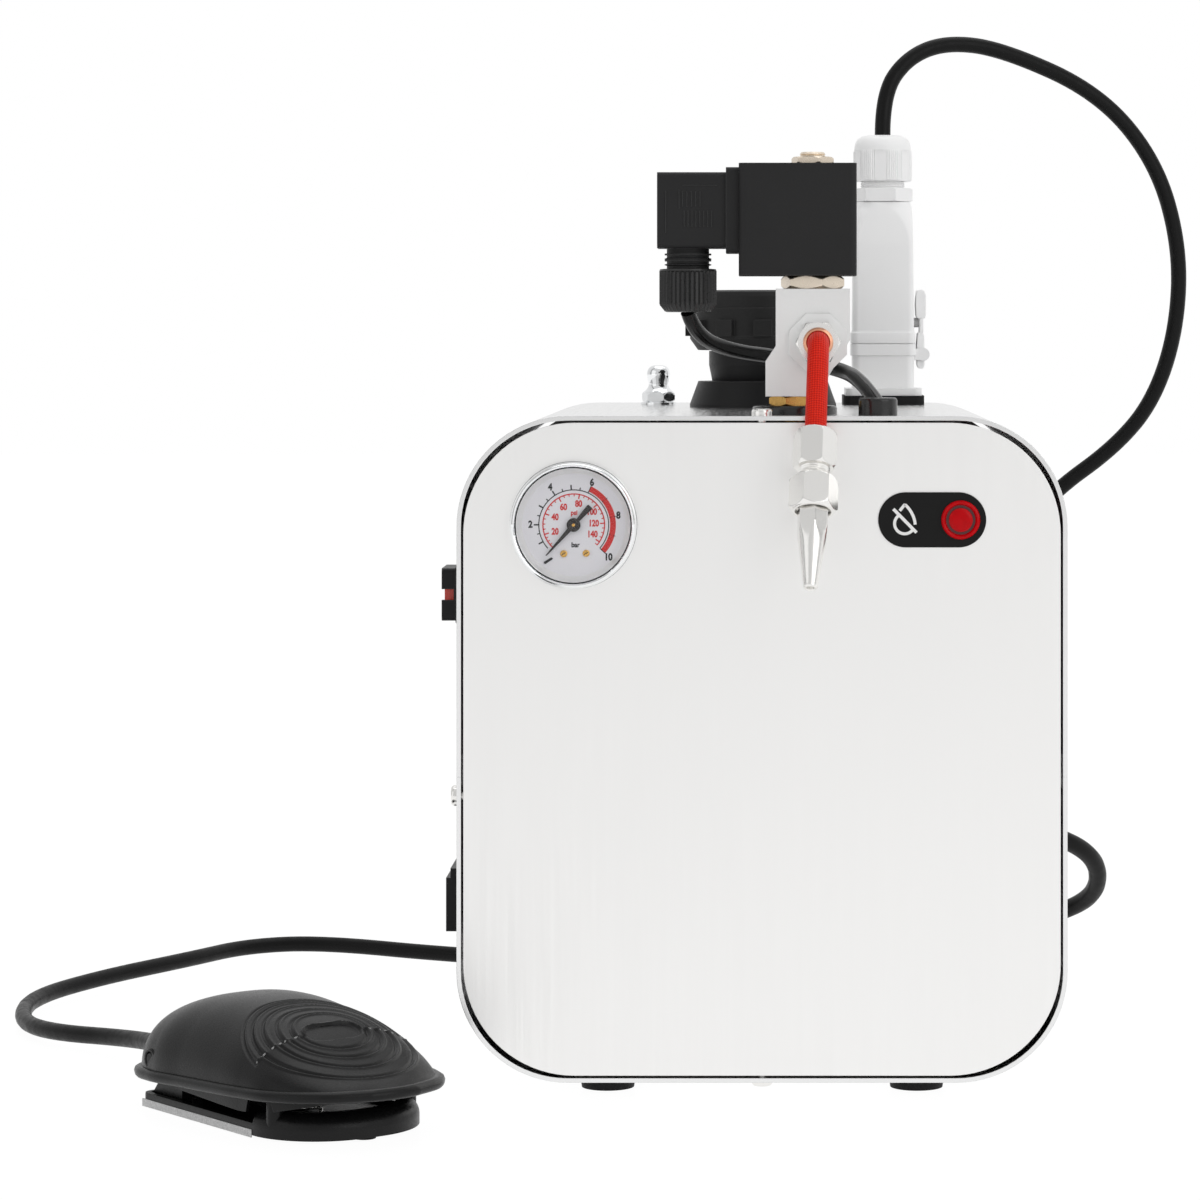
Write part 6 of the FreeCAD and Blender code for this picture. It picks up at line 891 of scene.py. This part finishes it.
def hood():
    """Rings of a rounded square: the corner radius grows upwards until the flat fronts end in an arch."""
    h = np.concatenate([np.linspace(6.6, 50, 8), np.linspace(52, 69.5, 26), [71.0, 72.4, 73.2, HOOD_TALL]])
    rise = np.clip((h - 52.0) / 18.0, 0, 1)
    half = 16.0 - 0.8 * h / HOOD_TALL - 1.2 * np.clip((h - 70.0) / 3.6, 0, 1) ** 2
    flat = 12.6 * np.clip(1 - rise ** 1.7, 0, 1) ** 0.72
    shave = 1.6 * rise
    body = box_rings(half, half - shave, np.clip(half - shave - flat, 2.2, None), h + SEAM, 14)
    bead = rounded_box(33.4, 33.4, 4.0, SEAM + 0.15, SEAM + 6.0, 0.7)
    ease = box_rings([16.6, 16.2, 16.0], [16.6, 16.2, 16.0], [4, 4, 4], np.array([5.6, 6.3, 6.8]) + SEAM)
    collar = hexagon_nut(31.2, 412.0, 418.9, NUT_TURN, ease=0.05)
    screw = lathe([(0, 418.5), (11.6, 418.5), *threads(11.5, 0.5, 418.9, 422.4, 1.1), (0, 422.6)])
    spigot = rounded_box(24.0, 24.0, 3.0, SEAM - 14.0, SEAM + 0.2, 0.5)
    peg = lathe([(0, 14.9), (2.5, 14.9), (2.5, 20.0), (2.1, 20.4), (0, 20.5)], 40)
    peg = laid(peg, (0, 0, 349.3), (0, 1, 0), UP)
    piece = mesh_piece("connector_hood_shell", laid(together(body, ease, bead, collar, screw, spigot, peg), CONNECTOR),
                       GREY_PLASTIC, angle=28)
    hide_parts("connector_hood")


def cord_nut():
    """The clamping nut: six low flats, fine ribs between plain stretches, and a domed crown."""
    rise = np.linspace(0, math.pi / 2, 12)
    fall = 1 - np.cos(rise)
    crown = np.c_[15.2 - 4.6 * fall - 3.0 * fall ** 2 - 0.5, 438.9 + 7.6 * np.sin(rise)].tolist()
    wall = [(15.2, z) for z in np.linspace(424, 437.6, 8)]
    profile = [(0, 422.5), (14.2, 422.5), (15.0, 423.1), *wall, (14.75, 438.6), *crown,
               (4.9, 446.55), (4.3, 446.2), (4.3, 444.0), (0, 444.0)]
    six = flats(28.4, NUT_TURN)

    def bend(t, r, z):
        low_flat = np.where((z > 423) & (z < 438.2), six(t, r, z), r)
        rib_zone = (np.cos(3 * (t - math.radians(NUT_TURN))) ** 2 < 0.62) & (z > 423.6) & (z < 438)
        return low_flat - np.where(rib_zone, 0.16 * (1 - np.cos(FINE_RIBS * t)), 0.0)

    nut = lathe(profile, FINE_RIBS * 8, bend, start=NUT_TURN)
    piece = mesh_piece("connector_cord_nut", laid(nut, CONNECTOR), GREY_PLASTIC)
    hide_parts("connector_gland_nut")


def side_lever():
    """Two finger paddles joined by a thin web, drawn from the side and given its width, on the pin's barrel."""
    upper = [(17.6, 366.0), (20.2, 366.5), (21.4, 365.6), (22.2, 363.4), (22.2, 352.6), (21.4, 351.3), (18.2, 351.3),
             (17.2, 352.6), (16.9, 358.0), (17.1, 362.5)]
    web = [(18.9, 351.5), (20.9, 351.5), (20.9, 343.5), (18.9, 343.5)]
    lower = [(18.0, 344.0), (20.4, 344.2), (21.4, 342.4), (21.5, 326.8), (20.6, 325.4), (18.6, 325.4), (17.6, 327.4),
             (17.5, 338.0)]
    plates = ((upper, 9.0), (web, 9.0), (lower, 8.9))
    parts = [laid(prism(outline, -half, half), y_way=UP) for outline, half in plates]
    piece = mesh_piece("side_lever", laid(together(*parts), CONNECTOR), GREY_PLASTIC, body="lever")
    bevelled(piece, 0.5)
    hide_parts("locking_lever")


hood()
cord_nut()
side_lever()


# ---- foot pedal
HEADING = math.radians(-51.3)
ALONG = (math.cos(HEADING), math.sin(HEADING), 0)
ACROSS = (-math.sin(HEADING), math.cos(HEADING), 0)
PEDAL = (-246.0, -157.5, 0.0)
PIVOT = (15.0, 23.5)
THROW = math.radians(2.5)
COVER_FLOOR = 14.6
COVER_FROM, COVER_LONG, COVER_HALF, COVER_TALL = -12.0, 156.0, 44.5, 36.0
COVER_WALL = 2.6
SQUARENESS = 2.6
SHARE = np.array([0.0, 0.03, 0.09, 0.20, 0.35, 0.50, 0.65, 0.80, 0.90, 0.96, 1.0])
WIDE = np.array([0.55, 0.74, 0.90, 1.0, 1.0, 1.0, 0.99, 0.92, 0.74, 0.52, 0.22])
TALL = np.array([0.56, 0.68, 0.82, 0.96, 1.0, 0.92, 0.77, 0.47, 0.27, 0.17, 0.10])
RING_MIDDLE = 97.3
NOTCH_HALF, NOTCH_TALL = 9.0, 13.4
SPRING_PLACE = (78.0, 0, 0)
SPRING_TURNS = 8
BACK_GROOVES = ((39.0, 37.5), (35.3, 33.5), (30.6, 28.8), (24.6, 22.8), (18.8, 16.6))
FRONT_GROOVES = ((34.6, 34.8), (27.2, 26.4), (21.5, 19.0), (16.2, 12.6))


def on_pedal(shape):
    return laid(shape, PEDAL, ALONG, ACROSS)


def cover_part(name, shape, surface=PEDAL_PLASTIC, angle=35.0):
    """A piece of the moving cover, turned up about the pivot to its rest.

    x' = px + dx cos a - dz sin a and z' = pz + dx sin a + dz cos a, with a the throw."""
    points = np.array(shape[0], float)
    dx, dz = points[:, 0] - PIVOT[0], points[:, 2] - PIVOT[1]
    points[:, 0] = PIVOT[0] + dx * math.cos(THROW) - dz * math.sin(THROW)
    points[:, 2] = PIVOT[1] + dx * math.sin(THROW) + dz * math.cos(THROW)
    return mesh_piece(name, on_pedal((points, shape[1])), surface, body="pedal_top", angle=angle)


def tread(x, y):
    """Depth of the tread at x along and y across: half-ellipse grooves behind and before a cross line.

    Each groove is exp(-(d / w)^2) of the distance d from its ellipse, with a raised edge inside it. Short
    raised dashes lie on the cross line between the grooves' ends, and in the middle is a lens-shaped
    hollow with a raised back edge."""
    dx = x - RING_MIDDLE
    behind = np.clip((1.0 - dx) / 1.0, 0, 1)
    depth = np.zeros(np.broadcast(x, y).shape)
    for part, grooves, inward in ((behind, BACK_GROOVES, 1.45), (1 - behind, FRONT_GROOVES, -1.45)):
        for half, long in grooves:
            off = (np.sqrt((dx / long) ** 2 + (y / half) ** 2) - 1) * min(half, long)
            depth += part * (0.85 * np.exp(-(off / 0.65) ** 2) - 0.55 * np.exp(-((off + inward) / 0.6) ** 2))
    side = np.abs(y)
    for low, high in ((34.6, 38.4), (26.8, 30.6), (21.2, 24.4), (16.8, 19.6)):
        depth -= 0.35 * np.exp(-(dx / 0.6) ** 2) * ((side > low) & (side < high))
    lens = np.abs(dx / 6.0) ** 2.6 + (np.abs(y) / 13.8) ** 3.2
    depth += 0.9 * np.clip((1 - lens) * 6, 0, 1)
    depth -= 0.7 * np.exp(-((lens - 1.12) / 0.12) ** 2) * (dx < 0.5)
    return depth


def arch(half, tall, columns):
    """Half a superellipse from side to side: y = cos^p W, z = sin^p H, with p = 2 / 2.6."""
    v = np.linspace(0, math.pi, columns)
    power = 2 / SQUARENESS
    return np.sign(np.cos(v)) * np.abs(np.cos(v)) ** power * half, np.abs(np.sin(v)) ** power * tall


def dome(inset, rows, columns, tread_depth=None):
    """The cover's humped skin: an arch of the width W and height H at each x, with eased ends at rear and toe.

    The rear wall leaves an arched notch for the cord: its first rows run from the notch's W and H to the wall's."""
    ease = np.linspace(0, math.pi / 2, 7)
    share = np.linspace(0, 1, rows)
    along = COVER_FROM + inset + share * (COVER_LONG - 2 * inset)
    beyond = along[share > 0.02]
    eased = 1 - 2.5 * (1 - np.sin(ease)) / 24.0
    x = np.concatenate([np.full(3, along[0]), along[0] + 2.5 * (1 - np.cos(ease)), beyond])
    grow = np.concatenate([np.full(3, eased[0]), eased, np.ones(len(beyond))])
    sizes = []
    for curve, full, notch, toe in ((WIDE, COVER_HALF, NOTCH_HALF, 0.6), (TALL, COVER_TALL, NOTCH_TALL, 0.8)):
        size = np.interp(x, along, smooth(share, SHARE, curve) * full - inset) * grow
        size[:3] = notch + (size[3] - notch) * np.array([0.0, 0.33, 0.67])
        sizes.append(np.append(size, size[-1] * np.array([toe, 0.05]))[:, None])
    y, z = arch(*sizes, columns)
    x = np.append(x, [x[-1], x[-1]])[:, None]
    grid = np.stack([np.broadcast_to(x, y.shape), y, COVER_FLOOR + z], 2)
    if tread_depth:
        out = np.cross(np.gradient(grid, axis=0), np.gradient(grid, axis=1))
        length = np.linalg.norm(out, axis=2, keepdims=True)
        out = np.where(length > 1e-6, out / np.maximum(length, 1e-6), 0)
        flip = np.where(out[..., 2:] < 0, -1, 1)
        inside = (grid[..., 0] > 50) & (grid[..., 0] < 138)
        grid = grid - out * flip * np.where(inside, tread_depth(grid[..., 0], grid[..., 1]), 0)[..., None]
    return grid.reshape(-1, 3), grid_faces(len(x), columns, loop_columns=False)


def cover_plan(extra):
    """Points along the cover's plan, let out by an amount, from one side of the cord's notch to the other."""
    share = 0.5 - 0.5 * np.cos(np.linspace(0, math.pi, 120))
    x = COVER_FROM - extra + share * (COVER_LONG + 2 * extra)
    half = smooth(share, SHARE, WIDE) * COVER_HALF + extra
    turn = np.linspace(-1, 1, 16)[1:-1]
    toe = np.c_[x[-1] + 1.5 * (1 - turn ** 2), half[-1] * turn]
    y = np.linspace(NOTCH_HALF, half[0], 6)[:-1]
    wall = np.c_[np.full(5, x[0]), y]
    return np.concatenate([wall * (1, -1), np.c_[x, -half], toe, np.c_[x, half][::-1], wall[::-1]])


def cover():
    """The skin with its tread, and the notch's lining between its two faces."""
    y, z = arch(NOTCH_HALF, NOTCH_TALL, 61)
    lining = np.stack([np.c_[np.full(61, COVER_FROM + deep), y, COVER_FLOOR + z] for deep in (COVER_WALL, 0)], 1)
    lining = lining.reshape(-1, 3), grid_faces(61, 2, loop_columns=False)
    skin = together(dome(0.0, 350, 255, tread), dome(COVER_WALL, 60, 61), lining)
    skin = cover_part("pedal_cover_skin", skin, angle=60)
    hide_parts("pedal_cover")


def cover_edges():
    """A rolled rim round the cover's plan, and the skirt below it with a gap round each of two pegs."""
    section = [(-2.6, 0.1), (-2.6, 4.0), (-0.3, 4.9), (1.0, 4.6), (2.1, 3.7), (2.5, 2.4), (2.3, 1.0), (1.6, 0.1),
               (0.4, -0.3)]
    plans = [(cover_plan(out), up) for out, up in section]
    rings = [np.c_[plan, np.full(len(plan), COVER_FLOOR + up)] for plan, up in plans]
    cover_part("pedal_cover_rim", capped(np.stack(rings, 1)), angle=50)
    outer, inner = cover_plan(-0.5), cover_plan(-2.4)
    share = np.clip((outer[:, 0] - 20.0) / 70.0, 0, 1)
    open_peg = np.clip((np.abs(outer[:, 0] - 104.0) - 7.6) / 0.8, 0, 1)
    fade = 1 - 0.92 * np.clip((outer[:, 0] - 106.0) / 30.0, 0, 1)
    low = COVER_FLOOR + 0.2 - 5.9 * share * open_peg * fade
    high = np.full(len(outer), COVER_FLOOR + 1.0)
    corners = ((outer, high), (outer, low), (inner, low), (inner, high))
    cover_part("pedal_cover_skirt", capped(np.stack([np.c_[plan, z] for plan, z in corners], 1)))


def cover_fittings():
    """The lugs and the spring's seat inside the cover, the pin's sockets in its sides, and the pin."""
    lugs = [laid(rounded_box(14, 4, 1.0, 18, 38, 0.4), (15.0, side * 24.6, 0)) for side in (-1, 1)]
    seat = laid(lathe([(0, 24.6), (7, 24.6), (7, 38), (0, 38)], 32), SPRING_PLACE)
    cover_part("pedal_cover_lugs", together(*lugs, seat))
    ring = lathe([(3.4, 40.0), (4.8, 40.0), (4.8, 43.1), (4.4, 43.5), (3.7, 43.5), (3.4, 43.1)], 40, loop=True)
    sockets = [laid(ring, (PIVOT[0], 0, PIVOT[1]), RIGHT, (0, 0, way)) for way in (1, -1)]
    cover_part("pin_sockets", together(*sockets))
    pin = lathe([(0, -43.4), (2.5, -43.4), (3.0, -42.9), (3.0, 42.9), (2.5, 43.4), (0, 43.4)], 32)
    pin = mesh_piece("pedal_pivot_pin", on_pedal(laid(pin, (PIVOT[0], 0, PIVOT[1]), RIGHT, UP)), BLACK_PLASTIC)
    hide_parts("pedal_pin")


def return_spring():
    """A wire wound as a helix: a ring of the wire's radius, carried along turns that rise evenly."""
    s = np.linspace(0, 1, SPRING_TURNS * 24 + 1)
    angle = 2 * math.pi * SPRING_TURNS * s
    path = np.c_[5.2 * np.cos(angle), 5.2 * np.sin(angle), 4.8 + 21.5 * s]
    out = np.c_[np.cos(angle), np.sin(angle), 0 * angle]
    up = np.cross(unit(np.gradient(path, axis=0)), out)
    wire = capped(swept(path, 0.7, out, up, np.linspace(0, 2 * math.pi, 8, endpoint=False)))
    wire = mesh_piece("return_spring", on_pedal(laid(wire, SPRING_PLACE)), PLATED_STEEL, angle=60)
    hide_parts("pedal_spring")
    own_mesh(wire)


def tread_dashes():
    """Pale strips on the cross line, painted highlights on the tread's raised dashes: short strips laid on z = H (1 -
    |y / W|^2.6)^(1 / 2.6).
    """
    share = np.array([(RING_MIDDLE - COVER_FROM) / COVER_LONG])
    half = smooth(share, SHARE, WIDE)[0] * COVER_HALF
    tall = smooth(share, SHARE, TALL)[0] * COVER_TALL
    shapes = []
    for side in (-1, 1):
        for low, high in ((36.2, 38.6), (33.6, 35.4), (28.8, 31.0), (26.2, 27.6), (22.4, 24.6), (17.6, 19.6)):
            y = side * np.linspace(low, high, 5)
            z = COVER_FLOOR + tall * (1 - np.abs(y / half) ** SQUARENESS) ** (1 / SQUARENESS) + 0.18
            shapes.append(capped(np.stack([np.c_[RING_MIDDLE + np.full(5, dx), y, z + dz] for dx, dz in (
                (-0.28, -0.5), (0.28, -0.5), (0.22, 0.12), (-0.22, 0.12))], 1)))
    cover_part("tread_dashes", together(*shapes), DASH_HIGHLIGHT_PAINT)


def base_tape():
    """A band of rough metal tape along the straight stretch of each side of the base."""
    for side, name in ((-1, "near"), (1, "far")):
        line = [(1.5, side * 39.1), (47, side * 39.1), (93.5, side * 39.1)]
        tape = mesh_piece("base_tape_" + name, on_pedal(ribbon(line, 0.5, 0.6, 4.0)), SPECKLE)
        bevelled(tape, 0.1)


cover()
cover_edges()
cover_fittings()
return_spring()
tread_dashes()
base_tape()
